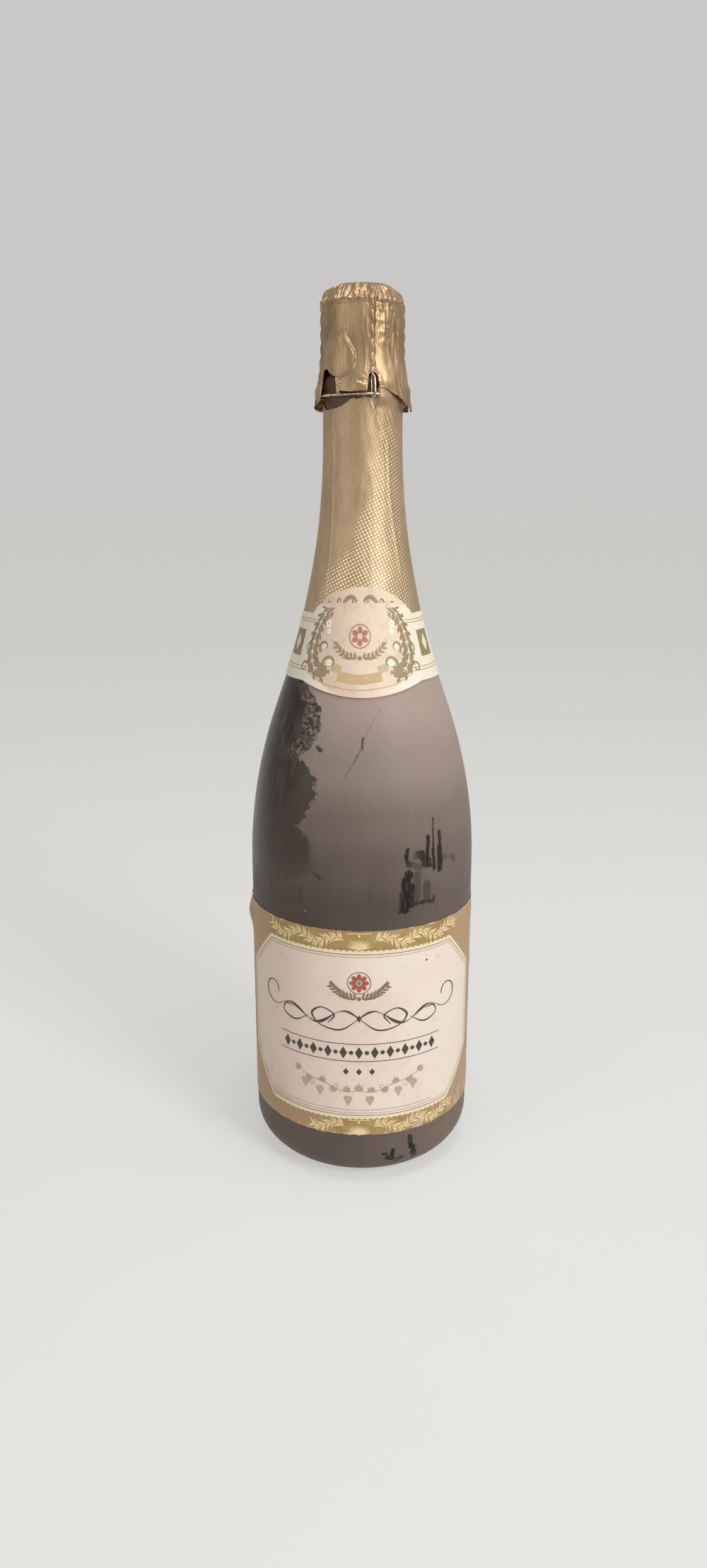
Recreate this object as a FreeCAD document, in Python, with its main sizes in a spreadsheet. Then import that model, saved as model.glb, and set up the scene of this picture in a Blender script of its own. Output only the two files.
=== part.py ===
import FreeCAD, Part
import math
import os
import re

import Sketcher
from FreeCAD import Placement, Rotation, Vector

# A corked champagne bottle, in millimetres: +Z up, origin at the middle of the base, front towards -Y.

# Driving dimensions, one cell each. Lengths are in millimetres, turns in degrees.
DIMENSIONS = (
    # Glass body
    ("body_radius", 43.9),
    ("heel_radius", 14.0),
    ("foot_width", 3.0),
    ("punt_slope", 30.0),
    ("punt_crown_radius", 12.0),
    ("base_thickness", 6.0),
    ("inner_heel_radius", 5.5),
    ("wall", 5.8),
    ("neck_wall", 4.4),
    # Shoulder and neck: an arc, a short cone and an arc the other way
    ("shoulder_height", 120.3),
    ("shoulder_arc_radius", 185.0),
    ("shoulder_cone_length", 17.0),
    ("neck_arc_radius", 264.0),
    ("neck_radius", 14.1),
    ("neck_straight", 4.0),
    # Finish: bore, bead that holds the wire, groove and lip
    ("finish_height", 29.0),
    ("bore_radius", 9.0),
    ("bore_taper", 3.0),
    ("bead_drop", 16.6),
    ("bead_radius", 3.0),
    ("bead_proud", 0.6),
    ("groove_depth", 1.1),
    ("lip_inset", 0.2),
    ("lip_height", 7.0),
    ("lip_edge", 1.4),
    # Contents
    ("liquid_gap", 0.1),
    ("headspace", 50.0),
    # Cork: plug in the bore, mushroom head, two discs under it
    ("cork_clearance", 0.06),
    ("cork_depth", 24.0),
    ("disc_thickness", 5.5),
    ("head_radius", 13.8),
    ("head_height", 13.1),
    ("head_round", 4.5),
    ("head_under_round", 2.0),
    ("seat_gap", 0.3),
    # Cap plaque
    ("plaque_overhang", 1.2),
    ("plaque_thickness", 0.3),
    ("plaque_step_radius", 7.0),
    ("plaque_step", 0.4),
    ("notch_clearance", 0.25),
    # Wire cage
    ("wire_radius", 0.4),
    ("wire_gap", 0.15),
    ("leg_azimuth", 13.0),
    ("eye_slack", 0.15),
    ("belt_below_bead", 2.5),
    # Eyelet loop that closes the belt
    ("knot_radius", 0.6),
    ("loop_radius", 5.0),
    ("stem_length", 5.6),
    # Foil
    ("foil_thickness", 0.25),
    ("foil_gap", 0.3),
    ("hood_room", 1.0),
    ("hood_round", 6.3),
    ("skirt_flare", 0.45),
    ("skirt_height", 17.0),
    ("skirt_overhang", 4.6),
    ("foot_window_width", 4.2),
    ("foot_window_height", 3.6),
    ("tear_height", 12.5),
    ("tear_start", -74.0),
    ("tear_turn", 35.0),
    ("rim_cut_height", 6.0),
    ("rim_cut_turn", 42.0),
    ("rim_side_height", 3.4),
    ("rim_side_turn", 40.0),
    ("skin_gap", 0.05),
    ("neck_foil_thickness", 0.15),
    ("neck_foil_hem", 8.0),
    ("neck_foil_drop", 1.0),
    # Labels
    ("label_thickness", 0.15),
    ("label_bottom", 21.5),
    ("label_height", 84.8),
    ("label_turn", 184.0),
    ("collar_thickness", 0.2),
    ("collar_drop", 1.4),
    ("collar_band_height", 23.7),
    ("medallion_rise", 10.0),
    ("medallion_fall", 4.6),
    ("medallion_top_width", 36.0),
    ("medallion_bottom_width", 44.0),
    # How far a cut runs past what it cuts
    ("overrun", 1.0),
)

# Legs of the wire cage. The belt has a flat between each two, so its corners are square.
LEG_COUNT = 4

# Sizes worked out from the driving ones, by name
FORMULAS = {
    "punt_mouth": "body_radius - heel_radius - foot_width",
    "punt_run": "(punt_mouth - punt_crown_radius * cos(punt_slope)) / sin(punt_slope)",
    "punt_centre": "punt_run * cos(punt_slope) - punt_crown_radius * sin(punt_slope)",
    "punt_depth": "punt_centre + punt_crown_radius",
    "arc_sum": "shoulder_arc_radius + neck_arc_radius",
    "shoulder_slope": "acos((arc_sum - body_radius + neck_radius)"
    " / sqrt(arc_sum ^ 2 + shoulder_cone_length ^ 2)) - atan(shoulder_cone_length / arc_sum)",
    "cone_low_z": "shoulder_height + shoulder_arc_radius * sin(shoulder_slope)",
    "cone_low_r": "body_radius - shoulder_arc_radius * (1 - cos(shoulder_slope))",
    "cone_high_z": "cone_low_z + shoulder_cone_length * cos(shoulder_slope)",
    "cone_high_r": "cone_low_r - shoulder_cone_length * sin(shoulder_slope)",
    "neck_low_z": "cone_high_z + neck_arc_radius * sin(shoulder_slope)",
    "neck_centre_r": "neck_radius + neck_arc_radius",
    "lip_z": "neck_low_z + neck_straight + finish_height",
    "bead_z": "lip_z - bead_drop",
    "ring_radius": "neck_radius + bead_proud",
    "groove_radius": "neck_radius - groove_depth",
    "lip_radius": "neck_radius - lip_inset",
    "bead_centre_r": "ring_radius - bead_radius",
    "bead_low_z": "bead_z - sqrt(bead_radius ^ 2 - (neck_radius - bead_centre_r) ^ 2)",
    "bead_high_z": "bead_z + sqrt(bead_radius ^ 2 - (groove_radius - bead_centre_r) ^ 2)",
    "bore_low_z": "lip_z - finish_height + bore_taper",
    "fill_z": "lip_z - cork_depth - headspace",
    "cork_radius": "bore_radius - cork_clearance",
    "cork_low_z": "lip_z - cork_depth",
    "cork_body_low_z": "cork_low_z + 2 * disc_thickness",
    "head_low_z": "lip_z + seat_gap",
    "head_top_z": "head_low_z + head_height",
    "head_flat": "head_radius - head_round",
    "head_round_z": "head_top_z - head_round",
    "plaque_z": "head_top_z + seat_gap",
    "plaque_radius": "head_flat + plaque_overhang",
    "leg_radius": "2 * wire_radius",
    "leg_bend": "head_round + seat_gap + plaque_thickness + wire_gap + wire_radius",
    "crown_z": "head_round_z + leg_bend",
    "eye_radius": "2 * wire_radius + eye_slack",
    "eye_reach": "eye_radius + wire_radius",
    "foot_r": "ring_radius + seat_gap + eye_reach",
    "belt_z": "bead_low_z - belt_below_bead",
    "leg_end_z": "belt_z + eye_radius",
    "belt_half": "neck_radius + wire_gap + wire_radius",
    "belt_corner": "(belt_half * sqrt(2) - foot_r) / (sqrt(2) - 1)",
    "belt_flat": "belt_half - belt_corner",
    "knot_r": "belt_half + wire_radius + seat_gap",
    "stem_r": "belt_half + wire_radius + wire_gap + leg_radius",
    "knot_length": "stem_r - knot_r + knot_radius",
    "stem_low_z": "belt_z + sqrt(2) * knot_radius + wire_gap",
    "loop_z": "stem_low_z + stem_length + loop_radius",
    "loop_turn": f"leg_azimuth - {180 / LEG_COUNT} - 90",
    "hood_top_z": "crown_z + leg_radius + foil_gap + foil_thickness",
    "hood_round_z": "hood_top_z - hood_round",
    "hood_radius": "head_radius + hood_room",
    "knee_z": "belt_z + wire_radius",
    "knee_radius": "foot_r + wire_radius + wire_gap + foil_thickness",
    "skirt_radius": "knee_radius + skirt_flare",
    "rim_z": "belt_z - skirt_overhang",
    "skirt_top_z": "rim_z + skirt_height",
    "sleeve_inner": "leg_radius + foil_gap",
    "sleeve_outer": "sleeve_inner + foil_thickness",
    "boss_inner": "loop_radius + wire_radius + foil_gap",
    "boss_outer": "boss_inner + foil_thickness",
    "boss_face_inner": "stem_r + wire_radius + foil_gap",
    "boss_face_outer": "boss_face_inner + foil_thickness",
    "boss_root": "hood_radius - 2 * foil_thickness",
    "cut_reach": "skirt_radius + foot_window_width",
    "neck_foil_low_z": "cone_high_z + neck_foil_hem",
    "neck_foil_high_z": "belt_z - neck_foil_drop",
    "neck_foil_inner": "skin_gap",
    "neck_foil_outer": "skin_gap + neck_foil_thickness",
    "collar_inner": "neck_foil_outer + skin_gap",
    "collar_outer": "collar_inner + collar_thickness",
    "collar_band_bottom": "cone_high_z - collar_drop",
    "collar_low_z": "collar_band_bottom - medallion_fall",
    "band_top_z": "collar_band_bottom + collar_band_height",
    "collar_high_z": "band_top_z + medallion_rise",
    "top_arc_radius": "(medallion_top_width ^ 2 / 4 + medallion_rise ^ 2) / (2 * medallion_rise)",
    "bottom_arc_radius": "(medallion_bottom_width ^ 2 / 4 + medallion_fall ^ 2) / (2 * medallion_fall)",
    "label_inner": "body_radius + skin_gap",
    "label_outer": "label_inner + label_thickness",
    "label_top": "label_bottom + label_height",
}

doc = FreeCAD.newDocument("champagne_bottle")
sheet = doc.addObject("Spreadsheet::Sheet", "dims")
for row, (alias, value) in enumerate(DIMENSIONS, start=1):
    sheet.set(f"A{row}", alias)
    sheet.set(f"B{row}", str(value))
    sheet.setAlias(f"B{row}", alias)
doc.recompute()

ALIASES = {alias for alias, value in DIMENSIONS}
WORD = re.compile(r"[a-z_]+")


def bound(text):
    """An expression on the sheet's cells, with each worked-out size written in full."""

    def cell(match):
        word = match.group()
        if word in FORMULAS:
            return f"({bound(FORMULAS[word])})"
        return f"dims.{word}" if word in ALIASES else word

    return WORD.sub(cell, text)


def number(text):
    """The present value of such an expression."""
    value = sheet.evalExpression(bound(text))
    return float(getattr(value, "Value", value))


def new_body(label):
    body = doc.addObject("PartDesign::Body", label)
    body.Label = label
    return body


def origin_plane(body, role):
    return next(item for item in body.Origin.OriginFeatures if item.Role == role)


def new_sketch(body, name, role="XZ_Plane", turn=0.0, shift=None):
    """A sketch on one of the body's own planes, turned about its vertical and shifted along its normal."""
    sketch = body.newObject("Sketcher::SketchObject", name)
    sketch.AttachmentSupport = [(origin_plane(body, role), "")]
    sketch.MapMode = "FlatFace"
    sketch.AttachmentOffset = Placement(Vector(), Rotation(Vector(0, 1, 0), turn))
    if shift:
        sketch.setExpression("AttachmentOffset.Base.z", bound(shift))
    return sketch


def pin_point(sketch, geometry, end, across, up):
    """Ties one end of a piece of geometry to its place, on an axis or by bound distances."""
    for kind, text, axis in (("DistanceX", across, -2), ("DistanceY", up, -1)):
        if text == "0":
            sketch.addConstraint(Sketcher.Constraint("PointOnObject", geometry, end, axis))
            continue
        index = sketch.addConstraint(
            Sketcher.Constraint(kind, -1, 1, geometry, end, number(text))
        )
        name = f"{kind}_{geometry}_{end}"
        sketch.renameConstraint(index, name)
        sketch.setExpression(f"Constraints.{name}", bound(text))


def set_radius(sketch, geometry, text):
    index = sketch.addConstraint(Sketcher.Constraint("Radius", geometry, number(text)))
    name = f"radius_{geometry}"
    sketch.renameConstraint(index, name)
    sketch.setExpression(f"Constraints.{name}", bound(text))


def arc_between(start, end, radius, side):
    """The shorter arc between two points, bulging right (side 1) or left (side -1) of the way along."""
    along = end - start
    half = along.Length / 2
    height = math.sqrt(max(radius * radius - half * half, 0.0))
    left = Vector(-along.y, along.x, 0).normalize()
    centre = (start + end) / 2 + left * height * side
    first, last = (start, end) if side > 0 else (end, start)
    angles = [math.atan2(p.y - centre.y, p.x - centre.x) for p in (first, last)]
    if angles[1] < angles[0]:
        angles[1] += 2 * math.pi
    circle = Part.Circle(centre, Vector(0, 0, 1), radius)
    return Part.ArcOfCircle(circle, *angles)


def draw(sketch, corners, closed=True):
    """Draws an outline. A corner is (across, up) or, where an arc leaves it, (across, up, radius, side)."""
    points = [Vector(number(corner[0]), number(corner[1]), 0) for corner in corners]
    count = len(corners) if closed else len(corners) - 1
    ends = []
    for i in range(count):
        start, end = points[i], points[(i + 1) % len(points)]
        if len(corners[i]) == 4:
            side = corners[i][3]
            piece = sketch.addGeometry(arc_between(start, end, number(corners[i][2]), side))
            ends.append((piece, 1, 2) if side > 0 else (piece, 2, 1))
        else:
            ends.append((sketch.addGeometry(Part.LineSegment(start, end)), 1, 2))
    for i in range(count):
        following = ends[(i + 1) % count]
        if closed or i + 1 < count:
            sketch.addConstraint(
                Sketcher.Constraint("Coincident", ends[i][0], ends[i][2], following[0], following[1])
            )
    for i, (piece, start, end) in enumerate(ends):
        pin_point(sketch, piece, start, *corners[i][:2])
        if len(corners[i]) == 4:
            set_radius(sketch, piece, corners[i][2])
    if not closed:
        pin_point(sketch, ends[-1][0], ends[-1][2], *corners[-1][:2])


def draw_circle(sketch, across, up, radius):
    centre = Vector(number(across), number(up), 0)
    piece = sketch.addGeometry(Part.Circle(centre, Vector(0, 0, 1), number(radius)))
    pin_point(sketch, piece, 3, across, up)
    set_radius(sketch, piece, radius)


def turned(body, name, corners, kind="PartDesign::Revolution", start=0.0, turn=None):
    """Adds or cuts the outline turned about the bottle's axis, all round or from start by a bound turn."""
    sketch = new_sketch(body, f"{name}_outline", turn=start)
    draw(sketch, corners)
    feature = body.newObject(kind, name)
    feature.Profile = sketch
    feature.ReferenceAxis = (sketch, ["V_Axis"])
    feature.Angle = 360.0
    if turn:
        feature.setExpression("Angle", bound(turn))
    doc.recompute()
    return feature


def piped(body, name, path, section, kind="PartDesign::AdditivePipe"):
    """Adds or cuts a round section carried along a path."""
    feature = body.newObject(kind, name)
    feature.Profile = section
    edges = [f"Edge{i + 1}" for i in range(len(path.Shape.Edges))]
    feature.Spine = (path, edges)
    doc.recompute()
    return feature


def round_copies(body, name, features):
    """Repeats features round the bottle's axis, one for each leg of the cage."""
    pattern = body.newObject("PartDesign::PolarPattern", name)
    pattern.Originals = features
    axis = next(item for item in body.Origin.OriginFeatures if item.Role == "Z_Axis")
    pattern.Axis = (axis, [""])
    pattern.Angle = 360.0
    pattern.Occurrences = LEG_COUNT
    body.Tip = pattern
    doc.recompute()
    return pattern


def turn_body(item, degrees):
    item.Placement = Placement(Vector(), Rotation(Vector(0, 0, 1), degrees))


def inner_wall(gap):
    """The inside of the glass, drawn in by a gap: its neck's foot and arc, then its outline to the axis."""
    deep = f"(base_thickness + {gap})"
    thick = f"(wall + {gap})"
    thin = f"(neck_wall + {gap})"
    upper_arc = f"(shoulder_arc_radius - {thick})"
    lower_arc = f"(neck_arc_radius + {thin})"
    fall = "(1 - cos(shoulder_slope))"
    width = f"(body_radius - {thick} - neck_radius + {thin})"
    run = f"(({width} - ({upper_arc} + {lower_arc}) * {fall}) / sin(shoulder_slope))"
    low_r = f"(body_radius - {thick} - {upper_arc} * {fall})"
    low_z = f"(shoulder_height + {upper_arc} * sin(shoulder_slope))"
    high_z = f"({low_z} + {run} * cos(shoulder_slope))"
    neck_z = f"({high_z} + {lower_arc} * sin(shoulder_slope))"
    crown = f"(punt_crown_radius + {deep})"
    reach = f"({crown} * cos(punt_slope))"
    rise = f"(punt_centre + {crown} * sin(punt_slope))"
    heel = f"(inner_heel_radius - {gap})"
    outline = [
        (f"{low_r} - {run} * sin(shoulder_slope)", high_z),
        (low_r, low_z, upper_arc, -1),
        (f"body_radius - {thick}", "shoulder_height"),
        (f"body_radius - {thick}", f"{deep} + {heel}", heel, -1),
        (f"body_radius - {thick} - {heel}", deep),
        (f"{reach} + ({rise} - {deep}) * tan(punt_slope)", deep),
        (reach, rise, crown, 1),
        ("0", f"punt_depth + {deep}"),
    ]
    return neck_z, lower_arc, outline


def make_glass():
    """The bottle: punt, heel, body, shoulder, neck, wire bead, lip and bore in one outline."""
    body = new_body("glass_bottle")
    neck_z, lower_arc, inside = inner_wall("0")
    punt_edge = ("punt_crown_radius * cos(punt_slope)", "punt_centre + punt_crown_radius * sin(punt_slope)")
    outside = [
        ("0", "punt_depth", "punt_crown_radius", -1),
        punt_edge,
        ("punt_mouth", "0"),
        ("body_radius - heel_radius", "0", "heel_radius", 1),
        ("body_radius", "heel_radius"),
        ("body_radius", "shoulder_height", "shoulder_arc_radius", 1),
        ("cone_low_r", "cone_low_z"),
        ("cone_high_r", "cone_high_z", "neck_arc_radius", -1),
        ("neck_radius", "neck_low_z"),
        ("neck_radius", "bead_low_z", "bead_radius", 1),
        ("groove_radius", "bead_high_z"),
        ("groove_radius", "lip_z - lip_height - lip_radius + groove_radius"),
        ("lip_radius", "lip_z - lip_height"),
        ("lip_radius", "lip_z - lip_edge", "lip_edge", 1),
        ("lip_radius - lip_edge", "lip_z"),
        ("bore_radius + lip_edge", "lip_z", "lip_edge", 1),
        ("bore_radius", "lip_z - lip_edge"),
        ("bore_radius", "bore_low_z"),
        ("neck_radius - neck_wall", "bore_low_z - bore_taper"),
        ("neck_radius - neck_wall", neck_z, lower_arc, 1),
    ]
    turned(body, "glass_turned", outside + inside)
    return body


def make_wine():
    """The liquid, up to its fill line in the neck."""
    body = new_body("wine")
    neck_z, lower_arc, inside = inner_wall("liquid_gap")
    centre_r = f"(neck_radius - neck_wall - liquid_gap + {lower_arc})"
    surface_r = f"{centre_r} - sqrt({lower_arc} ^ 2 - ({neck_z} - fill_z) ^ 2)"
    turned(body, "wine_turned", [("0", "fill_z"), (surface_r, "fill_z", lower_arc, 1), *inside])
    return body


def make_cork():
    """The cork's plug and mushroom head in one, over two discs."""
    body = new_body("cork_body")
    turned(
        body,
        "cork_turned",
        [
            ("0", "cork_body_low_z"),
            ("cork_radius", "cork_body_low_z"),
            ("cork_radius", "head_low_z"),
            ("head_radius - head_under_round", "head_low_z", "head_under_round", 1),
            ("head_radius", "head_low_z + head_under_round"),
            ("head_radius", "head_round_z", "head_round", 1),
            ("head_flat", "head_top_z"),
            ("0", "head_top_z"),
        ],
    )
    discs = []
    lifts = {"cork_disc_lower": "cork_low_z", "cork_disc_upper": "cork_low_z + disc_thickness"}
    for label, lift in lifts.items():
        disc = doc.addObject("Part::Cylinder", label)
        disc.Label = label
        disc.setExpression("Radius", bound("cork_radius"))
        disc.setExpression("Height", bound("disc_thickness"))
        disc.setExpression("Placement.Base.z", bound(lift))
        discs.append(disc)
    return [body, *discs]


def make_plaque():
    """The pressed metal cap, with a raised middle and a rim notch for each leg."""
    body = new_body("cap_plaque")
    inner_step = "plaque_step_radius - plaque_step"
    turned(
        body,
        "plaque_turned",
        [
            ("0", "plaque_z + plaque_step"),
            (inner_step, "plaque_z + plaque_step"),
            ("plaque_step_radius", "plaque_z"),
            ("plaque_radius", "plaque_z"),
            ("plaque_radius", "plaque_z + plaque_thickness"),
            ("plaque_step_radius", "plaque_z + plaque_thickness"),
            (inner_step, "plaque_z + plaque_step + plaque_thickness"),
            ("0", "plaque_z + plaque_step + plaque_thickness"),
        ],
    )
    half = "leg_radius + notch_clearance"
    start = "head_flat - notch_clearance - wire_radius"
    sketch = new_sketch(body, "notch_outline", "XY_Plane", shift="plaque_z - overrun")
    far = "plaque_radius + overrun"
    draw(sketch, [(start, f"-({half})"), (far, f"-({half})"), (far, half), (start, half)])
    notch = body.newObject("PartDesign::Pocket", "notch")
    notch.Profile = sketch
    notch.Reversed = True
    notch.setExpression("Length", bound("plaque_thickness + plaque_step + 2 * overrun"))
    doc.recompute()
    round_copies(body, "notches", [notch])
    turn_body(body, number("leg_azimuth - 90"))
    return body


def leg_path(body, name, low_r, low_z):
    """A leg's middle line: over the cork's rounded edge, then straight and leaning out to its foot."""
    sketch = new_sketch(body, name)
    centre = Vector(number("head_flat"), number("head_round_z"), 0)
    foot = Vector(number(low_r), number(low_z), 0)
    bend = number("leg_bend")
    drop = foot - centre
    lean = math.atan2(drop.y, drop.x) + math.acos(bend / drop.Length)
    touch = centre + Vector(math.cos(lean), math.sin(lean), 0) * bend
    circle = Part.Circle(centre, Vector(0, 0, 1), bend)
    arc = sketch.addGeometry(Part.ArcOfCircle(circle, lean, math.pi / 2))
    run = sketch.addGeometry(Part.LineSegment(touch, foot))
    sketch.addConstraint(Sketcher.Constraint("Tangent", arc, 1, run, 1))
    pin_point(sketch, arc, 3, "head_flat", "head_round_z")
    set_radius(sketch, arc, "leg_bend")
    sketch.addConstraint(Sketcher.Constraint("Vertical", arc, 3, arc, 2))
    pin_point(sketch, run, 2, low_r, low_z)
    doc.recompute()
    return sketch


def leg_section(body, name, low_r, low_z, radius):
    """The round section at a leg's lower end, level."""
    sketch = new_sketch(body, name, "XY_Plane", shift=low_z)
    draw_circle(sketch, low_r, "0", radius)
    doc.recompute()
    return sketch


def make_cage_frame():
    """The crown ring and its four legs, each ending in an eye for the belt."""
    body = new_body("cage_frame")
    ring = new_sketch(body, "crown_section")
    draw_circle(ring, "head_flat", "crown_z", "wire_radius")
    crown = body.newObject("PartDesign::Revolution", "crown_ring")
    crown.Profile = ring
    crown.ReferenceAxis = (ring, ["V_Axis"])
    crown.Angle = 360.0
    doc.recompute()
    path = leg_path(body, "leg_path", "foot_r", "leg_end_z")
    leg = piped(body, "leg", path, leg_section(body, "leg_section", "foot_r", "leg_end_z", "leg_radius"))
    section = new_sketch(body, "eye_section", "XY_Plane", shift="belt_z")
    middle = [Vector(number("foot_r"), number(end), 0) for end in ("-wire_radius", "wire_radius")]
    axis = section.addGeometry(Part.LineSegment(*middle), True)
    pin_point(section, axis, 1, "foot_r", "-wire_radius")
    pin_point(section, axis, 2, "foot_r", "wire_radius")
    draw_circle(section, "foot_r + eye_radius", "0", "wire_radius")
    eye = body.newObject("PartDesign::Revolution", "foot_eye")
    eye.Profile = section
    eye.ReferenceAxis = (section, ["Axis0"])
    eye.Angle = 360.0
    doc.recompute()
    round_copies(body, "legs", [leg, eye])
    turn_body(body, number("leg_azimuth - 90"))
    return body


def make_belt():
    """The belt wire: four flats that press on the neck under the bead, with a bend out through each eye."""
    body = new_body("cage_belt")
    path = new_sketch(body, "belt_path", "XY_Plane", shift="belt_z")
    draw(
        path,
        [
            ("belt_half", "0"),
            ("belt_half", "belt_flat", "belt_corner", 1),
            ("belt_flat", "belt_half"),
            ("0", "belt_half"),
        ],
        closed=False,
    )
    section = new_sketch(body, "belt_section")
    draw_circle(section, "belt_half", "belt_z", "wire_radius")
    doc.recompute()
    quarter = piped(body, "belt_quarter", path, section)
    round_copies(body, "belt_round", [quarter])
    turn_body(body, number("loop_turn"))
    return body


def make_loop():
    """The knot on the belt, and the twisted stem with its eyelet that folds on it."""
    turn = number("loop_turn")
    knot = doc.addObject("Part::Cylinder", "twist_knot")
    knot.Label = "twist_knot"
    knot.setExpression("Radius", bound("knot_radius"))
    knot.setExpression("Height", bound("knot_length"))
    outward = Rotation(Vector(0, 0, 1), turn).multiply(Rotation(Vector(0, 1, 0), 90))
    knot.Placement = Placement(Vector(), outward)
    knot.setExpression("Placement.Base.x", bound("knot_r * cos(loop_turn)"))
    knot.setExpression("Placement.Base.y", bound("knot_r * sin(loop_turn)"))
    knot.setExpression("Placement.Base.z", bound("belt_z"))
    stem = doc.addObject("Part::Cylinder", "loop_stem")
    stem.setExpression("Radius", bound("leg_radius"))
    stem.setExpression("Height", bound("stem_length"))
    stem.setExpression("Placement.Base.x", bound("stem_r"))
    stem.setExpression("Placement.Base.z", bound("stem_low_z"))
    eye = doc.addObject("Part::Torus", "loop_eye")
    eye.setExpression("Radius1", bound("loop_radius"))
    eye.setExpression("Radius2", bound("wire_radius"))
    eye.Placement = Placement(Vector(), Rotation(Vector(0, 1, 0), 90))
    eye.setExpression("Placement.Base.x", bound("stem_r"))
    eye.setExpression("Placement.Base.z", bound("loop_z"))
    loop = doc.addObject("Part::Fuse", "eyelet_loop")
    loop.Label = "eyelet_loop"
    loop.Base = stem
    loop.Tool = eye
    doc.recompute()
    turn_body(loop, turn)
    return [knot, loop]


def hood_outline(inset):
    """The hood's half outline: domed top, straight sides, skirt and flared rim, drawn in by an inset."""
    side = f"hood_radius - {inset}"
    bend = f"(hood_round - {inset})"
    flare = f"skirt_radius - {inset}"
    low = [("0", "rim_z")] if inset == "0" else [("0", "rim_z - overrun"), (flare, "rim_z - overrun")]
    return [
        *low,
        (flare, "rim_z"),
        (f"knee_radius - {inset}", "knee_z"),
        (side, "skirt_top_z"),
        (side, "hood_round_z", bend, 1),
        (f"{side} - {bend}", f"hood_top_z - {inset}"),
        ("0", f"hood_top_z - {inset}"),
    ]


def loop_boss(body, name, radius, face, kind):
    """A flat round boss over the eyelet loop, added or cut."""
    turn = -180 / LEG_COUNT
    sketch = new_sketch(body, f"{name}_outline", "YZ_Plane", turn=turn)
    sketch.setExpression("AttachmentOffset.Base.x", bound(f"boss_root * sin({turn})"))
    sketch.setExpression("AttachmentOffset.Base.z", bound(f"boss_root * cos({turn})"))
    draw_circle(sketch, "0", "loop_z", radius)
    boss = body.newObject(kind, name)
    boss.Profile = sketch
    boss.Reversed = kind == "PartDesign::Pocket"
    boss.setExpression("Length", bound(f"{face} - boss_root"))
    doc.recompute()
    return boss


def make_hood():
    """The foil hood: a thin shell with a ridge over each leg, a boss over the loop and a torn rim."""
    body = new_body("foil_hood")
    turned(body, "hood_outside", hood_outline("0"))
    sleeve_end = ("foot_r", "leg_end_z")
    path = leg_path(body, "sleeve_path", *sleeve_end)
    ridge = piped(body, "ridge", path, leg_section(body, "ridge_section", *sleeve_end, "sleeve_outer"))
    round_copies(body, "ridges", [ridge])
    loop_boss(body, "loop_boss", "boss_outer", "boss_face_outer", "PartDesign::Pad")
    turned(body, "hood_inside", hood_outline("foil_thickness"), "PartDesign::Groove")
    section = leg_section(body, "hollow_section", *sleeve_end, "sleeve_inner")
    hollow = piped(body, "hollow", path, section, "PartDesign::SubtractivePipe")
    round_copies(body, "hollows", [hollow])
    loop_boss(body, "loop_recess", "boss_inner", "boss_face_inner", "PartDesign::Pocket")
    window = new_sketch(body, "foot_window_outline", "YZ_Plane")
    half = "foot_window_width / 2"
    top = "leg_end_z + foot_window_height"
    low = "rim_z - overrun"
    draw(window, [(f"-({half})", low), (half, low), (half, top), (f"-({half})", top)])
    cut = body.newObject("PartDesign::Pocket", "foot_window")
    cut.Profile = window
    cut.Reversed = True
    cut.setExpression("Length", bound("cut_reach"))
    doc.recompute()
    round_copies(body, "foot_windows", [cut])
    rim_cuts = (
        ("tear", "tear_start", "tear_turn", "tear_height"),
        ("front_rim", "tear_start + tear_turn", "rim_cut_turn", "rim_cut_height"),
        ("side_rim", "tear_start + tear_turn + rim_cut_turn", "rim_side_turn", "rim_side_height"),
    )
    for name, start, turn, height in rim_cuts:
        high = f"rim_z + {height}"
        corners = [("neck_radius", low), ("cut_reach", low), ("cut_reach", high), ("neck_radius", high)]
        feature = turned(body, name, corners, "PartDesign::Groove", number(start), turn)
        body.Tip = feature
    doc.recompute()
    turn_body(body, number("leg_azimuth - 90"))
    return body


def neck_arc_r(skin, height):
    """The radius of the neck's curve at a height, over a skin."""
    return f"neck_centre_r - sqrt((neck_arc_radius - {skin}) ^ 2 - (neck_low_z - {height}) ^ 2)"


def make_neck_foil():
    """The foil sleeve on the neck, from under the collar label to under the hood."""
    body = new_body("foil_neck")
    inner, outer = "neck_foil_inner", "(neck_foil_outer)"
    turned(
        body,
        "neck_foil_turned",
        [
            (neck_arc_r(outer, "neck_foil_low_z"), "neck_foil_low_z", f"neck_arc_radius - {outer}", -1),
            (f"neck_radius + {outer}", "neck_low_z"),
            (f"neck_radius + {outer}", "neck_foil_high_z"),
            (f"neck_radius + {inner}", "neck_foil_high_z"),
            (f"neck_radius + {inner}", "neck_low_z", f"neck_arc_radius - {inner}", 1),
            (neck_arc_r(inner, "neck_foil_low_z"), "neck_foil_low_z"),
        ],
    )
    return body


def cone_r(skin, height):
    """The radius of the shoulder's cone at a height, over a skin."""
    return f"cone_high_r + (cone_high_z - {height}) * tan(shoulder_slope) + {skin} / cos(shoulder_slope)"


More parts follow.
